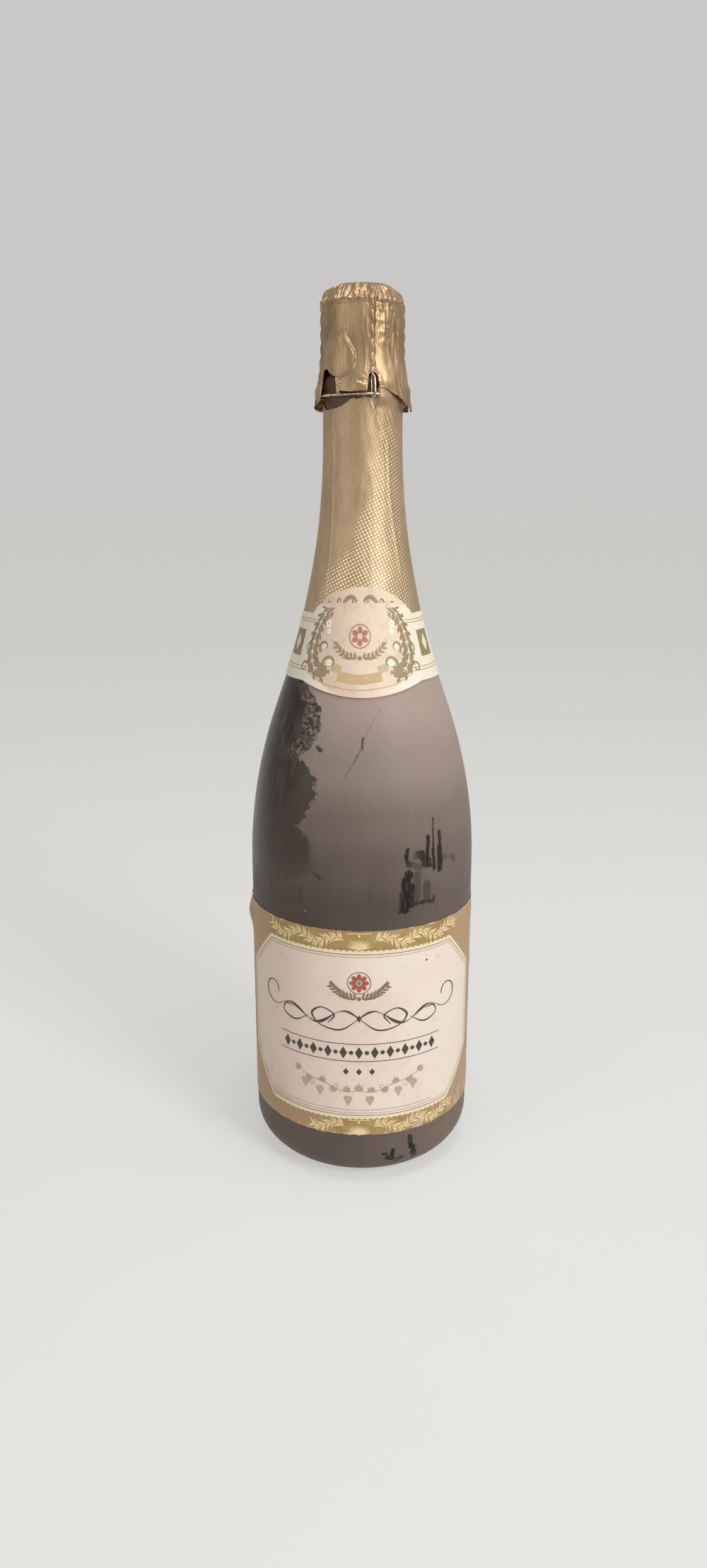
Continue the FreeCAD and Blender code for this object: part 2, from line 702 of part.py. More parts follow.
def make_collar():
    """The collar label: a band round the neck that swells to a medallion in front."""
    body = new_body("collar_label")
    corners = []
    for skin, side in (("collar_outer", -1), ("collar_inner", 1)):
        bend = (f"cone_high_r + {skin} * cos(shoulder_slope)", f"cone_high_z + {skin} * sin(shoulder_slope)")
        low = (cone_r(skin, "collar_low_z"), "collar_low_z")
        high = (neck_arc_r(skin, "collar_high_z"), "collar_high_z")
        arc = (f"neck_arc_radius - {skin}", side)
        corners += [low, (*bend, *arc), high] if side < 0 else [(*high, *arc), bend, low]
    turned(body, "collar_turned", corners)
    wide = "body_radius"
    floor = "collar_low_z - overrun"
    roof = "collar_high_z + overrun"
    half_top = "medallion_top_width / 2"
    half_low = "medallion_bottom_width / 2"
    front_above = [
        (f"-({wide})", "band_top_z"),
        (f"-({half_top})", "band_top_z", "top_arc_radius", -1),
        (half_top, "band_top_z"),
        (wide, "band_top_z"),
        (wide, roof),
        (f"-({wide})", roof),
    ]
    front_below = [
        (f"-({wide})", "collar_band_bottom"),
        (f"-({wide})", floor),
        (wide, floor),
        (wide, "collar_band_bottom"),
        (half_low, "collar_band_bottom", "bottom_arc_radius", -1),
        (f"-({half_low})", "collar_band_bottom"),
    ]
    back_above = [(f"-({wide})", "band_top_z"), (wide, "band_top_z"), (wide, roof), (f"-({wide})", roof)]
    back_below = [
        (f"-({wide})", floor),
        (wide, floor),
        (wide, "collar_band_bottom"),
        (f"-({wide})", "collar_band_bottom"),
    ]
    cuts = (
        ("front_above", front_above, True),
        ("front_below", front_below, True),
        ("back_above", back_above, False),
        ("back_below", back_below, False),
    )
    for name, outline, forward in cuts:
        sketch = new_sketch(body, f"{name}_outline")
        draw(sketch, outline)
        cut = body.newObject("PartDesign::Pocket", name)
        cut.Profile = sketch
        cut.Reversed = forward
        cut.setExpression("Length", bound(wide))
        doc.recompute()
    return body


def make_front_label():
    """The front label: a thin sheet bent round the body, centred on the front."""
    body = new_body("front_label")
    turned(
        body,
        "label_bent",
        [
            ("label_inner", "label_bottom"),
            ("label_outer", "label_bottom"),
            ("label_outer", "label_top"),
            ("label_inner", "label_top"),
        ],
        turn="label_turn",
    )
    turn_body(body, number("-90 - label_turn / 2"))
    return body


def check(pieces):
    """Stops unless every object is sound and every sub-part is a valid solid."""
    doc.recompute()
    for item in doc.Objects:
        if {"Invalid", "Error"} & set(item.State):
            raise RuntimeError(f"{item.Label} failed: {item.State}")
    for piece in pieces:
        shape = piece.Shape
        if shape.isNull() or not shape.isValid() or not shape.Solids:
            raise RuntimeError(f"{piece.Label} is not a valid solid")


def main():
    pieces = [make_glass(), make_wine(), *make_cork(), make_plaque(), make_cage_frame(), make_belt()]
    pieces += [*make_loop(), make_hood(), make_neck_foil(), make_collar(), make_front_label()]
    check(pieces)
    os.makedirs("parts", exist_ok=True)
    for piece in pieces:
        piece.Shape.exportStep(os.path.join("parts", f"{piece.Label}.step"))
        box = piece.Shape.optimalBoundingBox()
        print(
            f"{piece.Label}: {len(piece.Shape.Solids)} solid, {piece.Shape.Volume / 1000:.2f} cm3,"
            f" z {box.ZMin:.1f} to {box.ZMax:.1f}, x {box.XMin:.1f} to {box.XMax:.1f}"
        )


main()
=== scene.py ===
import math

import bpy
import numpy as np
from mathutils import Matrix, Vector, noise


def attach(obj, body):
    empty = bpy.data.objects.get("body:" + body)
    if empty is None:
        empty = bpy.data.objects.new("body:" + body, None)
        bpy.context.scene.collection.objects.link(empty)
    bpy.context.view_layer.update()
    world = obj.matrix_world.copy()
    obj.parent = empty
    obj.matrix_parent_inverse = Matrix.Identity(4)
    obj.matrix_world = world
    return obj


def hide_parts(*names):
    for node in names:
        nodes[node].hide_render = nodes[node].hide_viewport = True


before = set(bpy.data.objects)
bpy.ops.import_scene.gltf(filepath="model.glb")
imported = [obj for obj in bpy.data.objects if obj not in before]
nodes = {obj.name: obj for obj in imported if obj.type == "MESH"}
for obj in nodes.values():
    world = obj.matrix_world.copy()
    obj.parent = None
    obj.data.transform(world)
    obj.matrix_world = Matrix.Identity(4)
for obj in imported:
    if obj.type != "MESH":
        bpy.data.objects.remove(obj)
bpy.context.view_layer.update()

# Sizes are in millimetres and degrees. Azimuth runs from the front, -Y, towards +X.
MM = 0.001

# Walls of the skins, and the angle up to which their faces are shaded as one
FOIL_WALL = 0.12
NECK_WALL = 0.1
PAPER_WALL = 0.12
INK_WALL = 0.03
FOIL_SMOOTH = 70.0
SMOOTH = 50.0


# Modelling helpers

def pick(piece):
    bpy.ops.object.select_all(action='DESELECT')
    piece.select_set(True)
    bpy.context.view_layer.objects.active = piece


def apply_modifier(piece, kind, **settings):
    pick(piece)
    modifier = piece.modifiers.new("step", kind)
    for name, value in settings.items():
        setattr(modifier, name, value)
    bpy.ops.object.modifier_apply(modifier=modifier.name)


def subdivided(piece, levels):
    apply_modifier(piece, 'SUBSURF', levels=levels, render_levels=levels)


def smooth(piece, angle):
    pick(piece)
    bpy.ops.object.shade_smooth_by_angle(angle=math.radians(angle))


def thickened(piece, wall, angle):
    """Gives a skin its wall, inwards from the surface that shows, and smooths it."""
    apply_modifier(piece, 'SOLIDIFY', thickness=wall * MM, offset=-1.0, use_even_offset=False)
    smooth(piece, angle)


def start_edit(kind, action):
    """Opens the active piece for editing, with all or none of it selected."""
    bpy.ops.object.mode_set(mode='EDIT')
    bpy.ops.mesh.select_mode(type=kind)
    bpy.ops.mesh.select_all(action=action)


def primitive(name, operator, **settings):
    """A new mesh, as the active piece."""
    bpy.ops.object.select_all(action='DESELECT')
    operator(**settings)
    piece = bpy.context.object
    piece.name = name
    return piece


def points_of(piece):
    flat = np.empty(len(piece.data.vertices) * 3)
    piece.data.vertices.foreach_get("co", flat)
    return flat.reshape(-1, 3) / MM


def set_points(piece, points):
    piece.data.vertices.foreach_set("co", (np.asarray(points) * MM).ravel())
    piece.data.update()


def around(points):
    """Azimuth, radius and height of points."""
    x, y, z = points.T
    return np.degrees(np.arctan2(x, -y)), np.hypot(x, y), z.copy()


def placed(azimuth, radius, height):
    """Points from azimuth, radius and height."""
    turn = np.radians(azimuth)
    return np.column_stack([radius * np.sin(turn), -radius * np.cos(turn), height])


def upright(azimuth, across, out, height):
    """Points from how far they lie across an azimuth, out from the axis and up."""
    turn = math.radians(azimuth)
    x = across * math.cos(turn) + out * math.sin(turn)
    y = across * math.sin(turn) - out * math.cos(turn)
    return np.column_stack([x, y, height])


def ramp(value, low, high):
    """A smooth step from 0 at low to 1 at high."""
    t = np.clip((value - low) / (high - low), 0.0, 1.0)
    return t * t * (3.0 - 2.0 * t)


def turn_between(azimuth, centre):
    """Azimuth from a centre, from -180 to 180."""
    return (azimuth - centre + 180.0) % 360.0 - 180.0


def waves(points, across, along, seed):
    """Smooth noise about 0, with its size round and along the bottle."""
    return np.array([noise.noise((x / across + seed, y / across, z / along)) for x, y, z in points])


def creases(points, across, along, seed):
    """Noise with sharp crests, as in crushed foil, from about -1 to 1."""
    return 1.0 - 3.2 * np.abs(waves(points, across, along, seed))


def smooth_path(points, count):
    """A smooth line through a few points."""
    points = np.asarray(points, float)
    padded = np.vstack([2 * points[0] - points[1], points, 2 * points[-1] - points[-2]])
    result = []
    for s in np.linspace(0.0, len(points) - 1.0, count):
        i = min(int(s), len(points) - 2)
        t = s - i
        p0, p1, p2, p3 = padded[i:i + 4]
        slope, bend, twist = p2 - p0, 2 * p0 - 5 * p1 + 4 * p2 - p3, 3 * p1 - p0 - 3 * p2 + p3
        result.append(0.5 * (2 * p1 + slope * t + bend * t ** 2 + twist * t ** 3))
    return np.array(result)


def turned_skin(name, profile, sides, levels, closed=False):
    """A skin of revolution: a circle drawn up ring by ring along (radius, height), then subdivided."""
    radius, height = profile[0]
    circle = bpy.ops.mesh.primitive_circle_add
    skin = primitive(name, circle, vertices=sides, radius=radius * MM, location=(0, 0, height * MM))
    start_edit('VERT', 'SELECT')
    for (r0, z0), (r1, z1) in zip(profile, profile[1:]):
        bpy.ops.mesh.extrude_region_move(TRANSFORM_OT_translate={"value": (0, 0, (z1 - z0) * MM)})
        bpy.ops.transform.resize(value=(r1 / r0, r1 / r0, 1), center_override=(0, 0, z1 * MM))
    if closed:
        bpy.ops.mesh.merge(type='CENTER')
    bpy.ops.mesh.select_all(action='SELECT')
    bpy.ops.mesh.normals_make_consistent(inside=False)
    bpy.ops.object.mode_set(mode='OBJECT')
    bpy.ops.object.transform_apply(location=True, rotation=True, scale=True)
    subdivided(skin, levels)
    return skin


def bent_wire(name, paths, radius, sides=3, cyclic=False):
    """Round wire along paths of points, as one mesh."""
    curve = bpy.data.curves.new(name, 'CURVE')
    curve.dimensions = '3D'
    curve.bevel_depth = radius * MM
    curve.bevel_resolution = sides
    curve.use_fill_caps = True
    for path in paths:
        spline = curve.splines.new('POLY')
        spline.points.add(len(path) - 1)
        corners = np.column_stack([np.asarray(path) * MM, np.ones(len(path))])
        spline.points.foreach_set("co", corners.ravel())
        spline.use_cyclic_u = cyclic
    wire = bpy.data.objects.new(name, curve)
    bpy.context.collection.objects.link(wire)
    pick(wire)
    bpy.ops.object.convert(target='MESH')
    wire = bpy.context.object
    smooth(wire, SMOOTH)
    return wire


def outside(node):
    """Heights and outer radii of a turned CAD node, from its faces that look outwards."""
    _, radius, height = around(points_of(nodes[node]))
    found = {}
    for face in nodes[node].data.polygons:
        centre, normal = face.center, face.normal
        reach = math.hypot(centre.x, centre.y)
        if centre.x * normal.x + centre.y * normal.y > 0.5 * reach:
            for index in face.vertices:
                key = round(float(height[index]), 3)
                found[key] = max(found.get(key, 0.0), float(radius[index]))
    heights = np.array(sorted(found))
    return heights, np.array([found[z] for z in heights])


def finished(piece, body, finish, slot, *replaced):
    """Gives a piece its material, and makes it ride on a body in place of CAD nodes."""
    piece.data.materials.clear()
    piece.data.materials.append(finish)
    if replaced:
        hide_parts(*replaced)
    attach(piece, body)
    return piece


# Materials

def sum_of(operation, swapped=False):
    """A method that does one sum on a field, and on a second value where there is one."""
    def done(self, other=0.0):
        return self.tree.math(operation, *((other, self) if swapped else (self, other)))
    return done


class Field:
    """A number or colour that varies over a piece, with the sums that its node tree does on it."""

    def __init__(self, tree, socket):
        self.tree = tree
        self.socket = socket

    __add__ = __radd__ = sum_of('ADD')
    __sub__ = sum_of('SUBTRACT')
    __rsub__ = sum_of('SUBTRACT', swapped=True)
    __mul__ = sum_of('MULTIPLY')
    __abs__ = sum_of('ABSOLUTE')
    sine = sum_of('SINE')
    root = sum_of('SQRT')
    most = sum_of('MAXIMUM')
    least = sum_of('MINIMUM')

    def step(self, low, high):
        """A smooth step from 0 at low to 1 at high."""
        inputs = {"Value": self, "From Min": low, "From Max": high}
        return self.tree.field("MapRange", inputs, interpolation_type='SMOOTHSTEP')

    def band(self, low, high, soft):
        """1 between low and high, with soft edges."""
        return self.step(low - soft, low + soft) * self.step(high + soft, high - soft)

    def through(self, stops):
        """Runs through stops of (value, share), eased between them."""
        low, high = stops[0][0], stops[-1][0]
        result = self.tree.field("ValToRGB", {0: (self - low) * (1.0 / (high - low))})
        shades = result.socket.node.color_ramp
        shades.interpolation = 'EASE'
        while len(shades.elements) < len(stops):
            shades.elements.new(0.5)
        for shade, (value, share) in zip(shades.elements, stops):
            shade.position = (value - low) / (high - low)
            shade.color = (share, share, share, 1.0)
        return result


def most(field, *others):
    """The greatest of some fields."""
    for other in others:
        field = field.most(other)
    return field


class Tree:
    """A node tree, written as sums."""

    def __init__(self, owner):
        owner.use_nodes = True
        self.nodes = owner.node_tree.nodes
        self.links = owner.node_tree.links

    def put(self, socket, value):
        if isinstance(value, Field):
            self.links.new(value.socket, socket)
        else:
            socket.default_value = value

    def field(self, kind, inputs, output=0, **settings):
        """What a new node gives out, once its settings are made and its inputs filled."""
        node = self.nodes.new("ShaderNode" + kind)
        for name, value in settings.items():
            setattr(node, name, value)
        for key, value in inputs.items():
            self.put(node.inputs[key], value)
        return Field(self, node.outputs[output])

    def math(self, operation, a, b):
        return self.field("Math", {0: a, 1: b}, operation=operation)

    def seen_rays(self):
        """1 for rays by which a thing is seen, also mirrored or through glass, and 0 for the rest."""
        kinds = ("Camera", "Glossy", "Transmission")
        return most(*[self.field("LightPath", {}, f"Is {kind} Ray") for kind in kinds])


class Finish(Tree):
    """A procedural material, written as sums on the piece's own place in mm."""

    INPUTS = {
        "color": "Base Color", "metal": "Metallic", "roughness": "Roughness",
        "specular": "Specular IOR Level", "ior": "IOR",
    }

    def __init__(self, name):
        self.material = bpy.data.materials.new(name)
        super().__init__(self.material)
        self.shader = self.nodes["Principled BSDF"]
        own_place = self.field("TexCoord", {}, "Object")
        self.place = self.field("VectorMath", {0: own_place, "Scale": 1.0 / MM}, operation='SCALE')
        self.x, self.y, self.z = (self.field("SeparateXYZ", {0: self.place}, axis) for axis in "XYZ")

    def scaled(self, size, stretch=(1.0, 1.0, 1.0), shift=0.0):
        """The place in steps of a size, stretched along the axes."""
        steps = [1.0 / (size * s) for s in stretch]
        inputs = {"Vector": self.place, "Location": (shift, shift, shift), "Scale": steps}
        return self.field("Mapping", inputs)

    def noise(self, size, detail=3.0, stretch=(1.0, 1.0, 1.0), roughness=0.55, shift=0.0):
        """Noise from 0 to 1 with features of a size, stretched along the axes."""
        inputs = {"Scale": 1.0, "Detail": detail, "Roughness": roughness}
        return self.field("TexNoise", {"Vector": self.scaled(size, stretch, shift), **inputs})

    def cells(self, size, output, feature='F1'):
        inputs = {"Vector": self.scaled(size), "Scale": 1.0}
        return self.field("TexVoronoi", inputs, output, feature=feature)

    def blend(self, factor, a, b):
        a, b = (value if isinstance(value, Field) else (*value, 1.0) for value in (a, b))
        return self.field("Mix", {0: factor, 6: a, 7: b}, 2, data_type='RGBA')

    def azimuth(self):
        return self.math('ARCTAN2', self.x, self.y * -1.0) * (180.0 / math.pi)

    def radius(self):
        return (self.x * self.x + self.y * self.y).root()

    def bump(self, height, depth, strength):
        """Bump from a height of 0 to 1 that stands depth mm."""
        normal = self.field("Bump", {"Strength": strength, "Distance": depth * MM, "Height": height})
        self.put(self.shader.inputs["Normal"], normal)

    def set(self, **values):
        for name, value in values.items():
            self.put(self.shader.inputs[self.INPUTS[name]], value)
        return self.material


def capsule(azimuth, height, radius, start, end, half):
    """Distance in mm from a short stroke on the glass, less its half width. Ends are (azimuth, height)."""
    (a0, z0), (a1, z1) = start, end
    arc = math.radians(1.0) * radius
    px = (azimuth - a0) * arc
    pz = height - z0
    dx, dz = (a1 - a0) * arc, z1 - z0
    length = dx * dx + dz * dz
    along = px * (dx / length) + pz * (dz / length)
    along = along.most(0.0).least(1.0)
    qx = px - along * dx
    qz = pz - along * dz
    return (qx * qx + qz * qz).root() - half


CLEAN_GLASS = (0.012, 0.009, 0.006)
FILM = (0.056, 0.042, 0.033)
FILM_PALE = (0.085, 0.066, 0.053)
FILM_DARK = (0.020, 0.016, 0.012)
CRUST = (0.24, 0.19, 0.15)
SPECK = (0.36, 0.31, 0.26)
GRIME = (0.17, 0.095, 0.048)
GRIME_DARK = (0.07, 0.040, 0.020)

# Dust and painted top light by height: darker on the upright wall and paler on the shoulder, where dust lies
# thicker and the shoulder is also painted lighter as if lit from above
DUST_AND_TOP_LIGHT = [
    (0.0, 0.24), (60.0, 0.16), (112.0, 0.10), (130.0, 0.20), (146.0, 0.34), (166.0, 0.62), (190.0, 0.90),
    (260.0, 1.0),
]
THIN_DUST_IN_SHADE = (0.052, 0.038, 0.030)
THICK_DUST_IN_LIGHT = (0.350, 0.272, 0.229)

# Where the dust is rubbed off: the left patch's edge as (height, azimuth), and how far left it may lie
PATCH_EDGE = [
    (114, -62), (121, -42), (125, -31), (128, -25), (133, -24), (138, -25), (142, -30), (144, -34),
    (148, -29), (152, -27), (156, -23.5), (161, -24.5), (165, -29), (168, -38), (173, -30), (178, -26),
    (185, -27), (190, -34), (195, -48),
]
PATCH_SPAN = 90.0

# Short rubbed strokes: both ends as (azimuth, height), half width, and depth from 0 to 1
STROKES = [
    ((37.8, 146.2), (37.3, 134.8), 0.28, 1.0), ((37.3, 134.8), (37.7, 127.3), 0.55, 1.0),
    ((41.6, 140.7), (41.6, 134.1), 0.7, 1.0), ((41.7, 134.8), (41.3, 126.9), 1.25, 1.0),
    ((34.4, 140.0), (33.1, 129.3), 0.75, 1.0), ((29.4, 134.2), (34.1, 130.9), 1.5, 0.9),
    ((31.4, 130.2), (35.7, 128.9), 0.9, 0.9), ((22.7, 136.5), (21.9, 133.4), 0.7, 1.0),
    ((21.9, 133.4), (23.2, 130.5), 0.75, 0.9), ((23.9, 131.1), (29.3, 129.1), 1.1, 0.5),
    ((26.9, 133.5), (27.9, 134.1), 1.2, 0.5), ((44.3, 130.9), (52.2, 129.2), 0.95, 0.42),
    ((51.8, 129.8), (52.0, 128.5), 0.6, 0.7), ((22.6, 127.4), (23.9, 126.2), 1.3, 1.0),
    ((21.9, 124.8), (21.1, 113.7), 1.7, 1.0), ((24.8, 122.4), (24.0, 114.7), 1.2, 1.0),
    ((19.3, 120.6), (18.8, 112.8), 0.8, 0.7), ((27.8, 126.6), (27.5, 117.5), 1.4, 0.5),
    ((33.1, 122.3), (33.6, 116.2), 1.5, 0.5), ((25.9, 115.4), (35.7, 115.1), 0.7, 0.8),
    ((37.6, 116.4), (37.3, 114.8), 0.45, 0.9), ((0.6, 176.8), (0.0, 173.4), 0.24, 0.9),
    ((0.0, 173.4), (-4.5, 168.4), 0.14, 0.7), ((-4.5, 168.4), (-8.7, 163.0), 0.08, 0.45),
    ((2.5, 178.0), (11.6, 186.5), 0.10, 0.3), ((-26.1, 172.6), (-24.2, 171.9), 0.7, 1.0),
    ((-24.0, 127.7), (-20.3, 125.5), 0.3, 0.7), ((-51.7, 122.3), (-52.4, 115.6), 0.3, 0.6),
    ((-31.6, 120.4), (-30.9, 114.8), 0.3, 0.4), ((14.0, 10.2), (16.2, 9.6), 1.3, 1.0),
    ((16.2, 13.5), (16.0, 10.0), 0.8, 1.0), ((11.5, 12.4), (12.8, 12.0), 0.5, 1.0),
    ((18.0, 7.2), (21.5, 9.0), 0.9, 0.8), ((13.5, 5.5), (17.0, 6.2), 0.7, 0.8),
    ((25.6, 18.0), (26.6, 13.5), 0.8, 1.0), ((26.4, 13.5), (27.6, 12.4), 1.1, 1.0),
    ((28.2, 10.8), (29.6, 6.6), 1.2, 1.0),
]
# The glass's radius at the strokes below and above the shoulder's foot
WALL_RADIUS = 43.0
SHOULDER_RADIUS = 36.0
SHOULDER_LOW = 150.0


def dusty_glass():
    """Near-black green glass under a film of cellar dust, rubbed off in patches, with painted light that
    makes the dust paler on the shoulder and on the right.
    """
    glass = Finish("dusty_dark_glass")
    wander = glass.noise(4.0, 6.0, roughness=0.6) - 0.5
    azimuth = glass.azimuth() + wander * 7.0
    height = glass.z + (glass.noise(3.5, 5.0, shift=31.0) - 0.5) * 5.0

    # Left patch: a thin dark film, crusted at its upper right and fading out below
    edge = height.through([(z, (turn + PATCH_SPAN) / PATCH_SPAN) for z, turn in PATCH_EDGE])
    past = edge * PATCH_SPAN - PATCH_SPAN - azimuth
    wiped = glass.noise(8.0, 5.0, (0.35, 0.35, 3.0), 0.62, 3.0)
    sharp = past.step(-0.5, 1.0)
    faded = past.step(-3.0, 5.0)
    upper = glass.z.step(128.0, 146.0)
    patch = sharp * upper + faded * (1.0 - upper)
    patch = patch * past.step(80.0, 40.0)
    patch = patch * (glass.z + wiped * 26.0).step(121.0, 148.0)
    patch = patch * height.band(PATCH_EDGE[0][0], PATCH_EDGE[-1][0] + 8.0, 1.5)
    streaks = past.step(4.0, 26.0) * wiped.step(0.62, 0.4)
    streaks = streaks * glass.z.step(138.0, 172.0)
    streaks = most(streaks, past.step(9.0, 16.0) * glass.z.step(176.0, 190.0))
    film = glass.blend(wiped.step(0.3, 0.75) * 0.5, FILM, FILM_PALE)
    film = glass.blend(streaks * 0.9, film, FILM_DARK)
    crust_place = past.step(16.0, 9.0) * glass.z.band(169.0, 192.0, 2.5)
    edge_place = past.band(-1.2, 1.6, 0.8) * glass.z.band(143.0, 170.0, 2.0)
    crust = most(crust_place, edge_place) * patch
    lumps = glass.noise(1.5, 5.0, roughness=0.68, shift=9.0)
    film = glass.blend(crust * lumps.step(0.47, 0.62), film, CRUST)
    film = glass.blend(crust * lumps.step(0.46, 0.36), film, FILM_DARK)

    ragged_azimuth = glass.azimuth() + wander * 2.2
    ragged_height = glass.z + (glass.noise(1.7, 4.0, shift=17.0) - 0.5) * 3.4
    marks = None
    for start, end, half, depth in STROKES:
        radius = WALL_RADIUS if start[1] < SHOULDER_LOW else SHOULDER_RADIUS
        gap = capsule(ragged_azimuth, ragged_height, radius, start, end, half)
        mark = gap.step(0.5, -0.3) * depth
        marks = mark if marks is None else most(marks, mark)
    dry = glass.noise(1.3, 4.0, (0.45, 0.45, 3.5)).step(0.32, 0.52)
    marks = marks * (dry * 0.4 + 0.6)

    # Dust gathers in faint clouds, runs and grains; the right side is painted paler, as painted light from
    # the right
    runs = glass.noise(9.0, 4.0, (0.25, 0.25, 3.0), shift=5.0)
    cloud = glass.noise(30.0, 4.0)
    grain = glass.noise(0.55, 2.0)
    uneven_dust_and_side_light = (runs - 0.5) * 0.08 + (cloud - 0.5) * 0.22
    uneven_dust_and_side_light = uneven_dust_and_side_light + (grain - 0.5) * 0.1
    # Painted light: the dust is paler on the right, where the key light falls
    uneven_dust_and_side_light = uneven_dust_and_side_light + glass.azimuth().band(25.0, 100.0, 25.0) * 0.13
    dust_and_light = glass.blend(glass.z.through(DUST_AND_TOP_LIGHT) + uneven_dust_and_side_light, THIN_DUST_IN_SHADE, THICK_DUST_IN_LIGHT)
    specks = glass.cells(9.0, "Distance").step(0.06, 0.04) * 0.5
    dust_and_light = glass.blend(specks, dust_and_light, SPECK)
    color = glass.blend(patch, dust_and_light, film)
    color = glass.blend(marks, color, CLEAN_GLASS)
    lip = glass.z.step(284.0, 289.0)
    stain = glass.blend(glass.noise(2.2, 5.0, roughness=0.65, shift=14.0), GRIME_DARK, GRIME)
    color = glass.blend(lip, color, stain)
    rubbed = most(patch * 0.6, marks)
    roughness = 0.12 + (1.0 - rubbed) * (0.3 + cloud * 0.14)
    crusted = glass.azimuth().band(-46.0, -26.0, 5.0) * glass.z.band(169.0, 192.0, 3.0)
    glass.bump(grain * 0.25 + crusted * lumps, 0.22, 0.45)
    return glass.set(color=color, roughness=roughness, specular=0.18, ior=1.52)


# Rows of small beads pressed into the neck foil, in mm and degrees
BEAD_PITCH = 1.2
BEAD_LEAN = 26.0
# Painted highlight: the beads' tops are painted this bright gold as glints
BEAD_GLINT_GOLD = (0.96, 0.82, 0.54)


def aged_foil(name, color, dark, polish, lattice=False):
    """Matt gold foil, tarnished in its folds, with fine draw lines; with the lattice, beads with painted
    glints and painted shade in their grooves.
    """
    foil = Finish(name)
    tarnish = foil.noise(7.0, 5.0, (1.0, 1.0, 2.0), 0.62)
    draw = foil.noise(0.9, 2.0, (0.6, 0.6, 9.0))
    grain = foil.noise(0.35, 3.0)
    tone = tarnish * 0.65 + draw * 0.35
    paint = foil.blend(tone.step(0.32, 0.68), dark, color)
    relief = draw * 0.5 + grain * 0.5
    rough = polish + tarnish * 0.26
    if lattice:
        arc = foil.azimuth() * math.radians(1.0) * foil.radius()
        lean = math.radians(BEAD_LEAN)
        rows = arc * math.cos(lean) + foil.z * math.sin(lean)
        files = foil.z * math.cos(lean) - arc * math.sin(lean)
        first = (rows * (math.pi / BEAD_PITCH)).sine()
        second = (files * (math.pi / BEAD_PITCH)).sine()
        knobs = abs(first * second).step(0.38, 0.82)
        # Painted shade: the grooves between the beads are darkened
        groove_shade = abs(first * second).step(0.16, 0.0)
        # Beads show on the right and lower down, partly as wear and partly where the painted glints and
        # groove shade follow the light from the right
        start = (foil.z * 0.28 - 58.8).least(foil.z * 1.83 - 461.8)
        patchy = (foil.noise(8.0, 4.0, (1.0, 1.0, 1.6), shift=2.0) - 0.5) * 60.0
        kept_and_lit = (foil.azimuth() - start + patchy).step(-8.0, 10.0)
        kept_and_lit = kept_and_lit * foil.azimuth().step(78.0, 48.0)
        kept_and_lit = kept_and_lit * foil.z.step(288.0, 276.0)
        knobs = knobs * (0.12 + kept_and_lit * 0.88)
        paint = foil.blend(groove_shade * kept_and_lit * 0.45, paint, dark)
        # Painted highlights: glints on the beads
        paint = foil.blend(knobs * 0.8, paint, BEAD_GLINT_GOLD)
        rough = rough - knobs * 0.16
        foil.bump(knobs * 0.8 + relief * 0.2, 0.2, 0.75)
    else:
        crush = foil.noise(1.9, 0.6, (1.0, 1.0, 2.6), shift=5.0)
        ridge = abs(crush - 0.5).step(0.06, 0.0)
        right = foil.azimuth().band(18.0, 54.0, 5.0) * foil.z.step(309.0, 313.0)
        ridge = ridge * most(foil.z.step(322.5, 325.0), right * 0.5)
        foil.bump(ridge * 0.7 + relief * 0.3, 0.2, 0.5)
    return foil.set(color=paint, metal=0.82, roughness=rough)


CORK_GRAIN = 1.7


def pressed_cork():
    """Agglomerate of cork grains in paler and darker browns."""
    cork = Finish("pressed_cork")
    shade = cork.field("SeparateColor", {0: cork.cells(CORK_GRAIN, "Color")})
    edges = cork.cells(CORK_GRAIN, "Distance", 'DISTANCE_TO_EDGE')
    pores = cork.noise(0.7, 3.0).step(0.6, 0.68)
    paint = cork.blend(shade, (0.40, 0.22, 0.10), (0.66, 0.43, 0.23))
    paint = cork.blend(edges.step(0.1, 0.0), paint, (0.22, 0.11, 0.05))
    paint = cork.blend(pores, paint, (0.16, 0.08, 0.04))
    cork.bump(edges.step(0.0, 0.16) - pores * 0.8, 0.15, 0.7)
    return cork.set(color=paint, roughness=0.82)


def natural_cork():
    """Solid cork disc with growth lines and dark pores."""
    cork = Finish("natural_cork")
    lines = cork.noise(2.4, 4.0, (0.4, 3.0, 3.0))
    pores = cork.noise(1.6, 4.0, (0.5, 2.4, 1.0), shift=7.0).step(0.62, 0.68)
    paint = cork.blend(lines, (0.47, 0.28, 0.13), (0.72, 0.50, 0.28))
    paint = cork.blend(pores, paint, (0.15, 0.07, 0.03))
    cork.bump(lines * 0.4 - pores, 0.15, 0.7)
    return cork.set(color=paint, roughness=0.78)


def painted_plate():
    """Tin cap plate with worn gold paint."""
    plate = Finish("painted_plate")
    wear = plate.noise(2.2, 6.0, roughness=0.7).step(0.58, 0.66)
    rings = (plate.radius() * 7.0).sine()
    tone = plate.noise(5.0, 4.0) * 0.8 + rings * 0.06
    paint = plate.blend(tone, (0.36, 0.23, 0.09), (0.58, 0.42, 0.20))
    paint = plate.blend(wear, paint, (0.50, 0.49, 0.47))
    plate.bump(rings * 0.2 - wear * 0.4, 0.06, 0.5)
    return plate.set(color=paint, metal=0.75, roughness=0.28 + wear * 0.22)


def galvanised_wire():
    """Drawn wire with dull spots of tarnish."""
    wire = Finish("galvanised_wire")
    spots = wire.noise(1.5, 5.0, roughness=0.65)
    drawn = wire.noise(0.25, 2.0, (0.5, 0.5, 3.0))
    paint = wire.blend(spots.step(0.38, 0.62), (0.36, 0.28, 0.18), (0.7, 0.6, 0.45))
    wire.bump(spots * 0.5 + drawn * 0.5, 0.05, 0.5)
    return wire.set(color=paint, metal=0.9, roughness=0.24 + spots * 0.25)


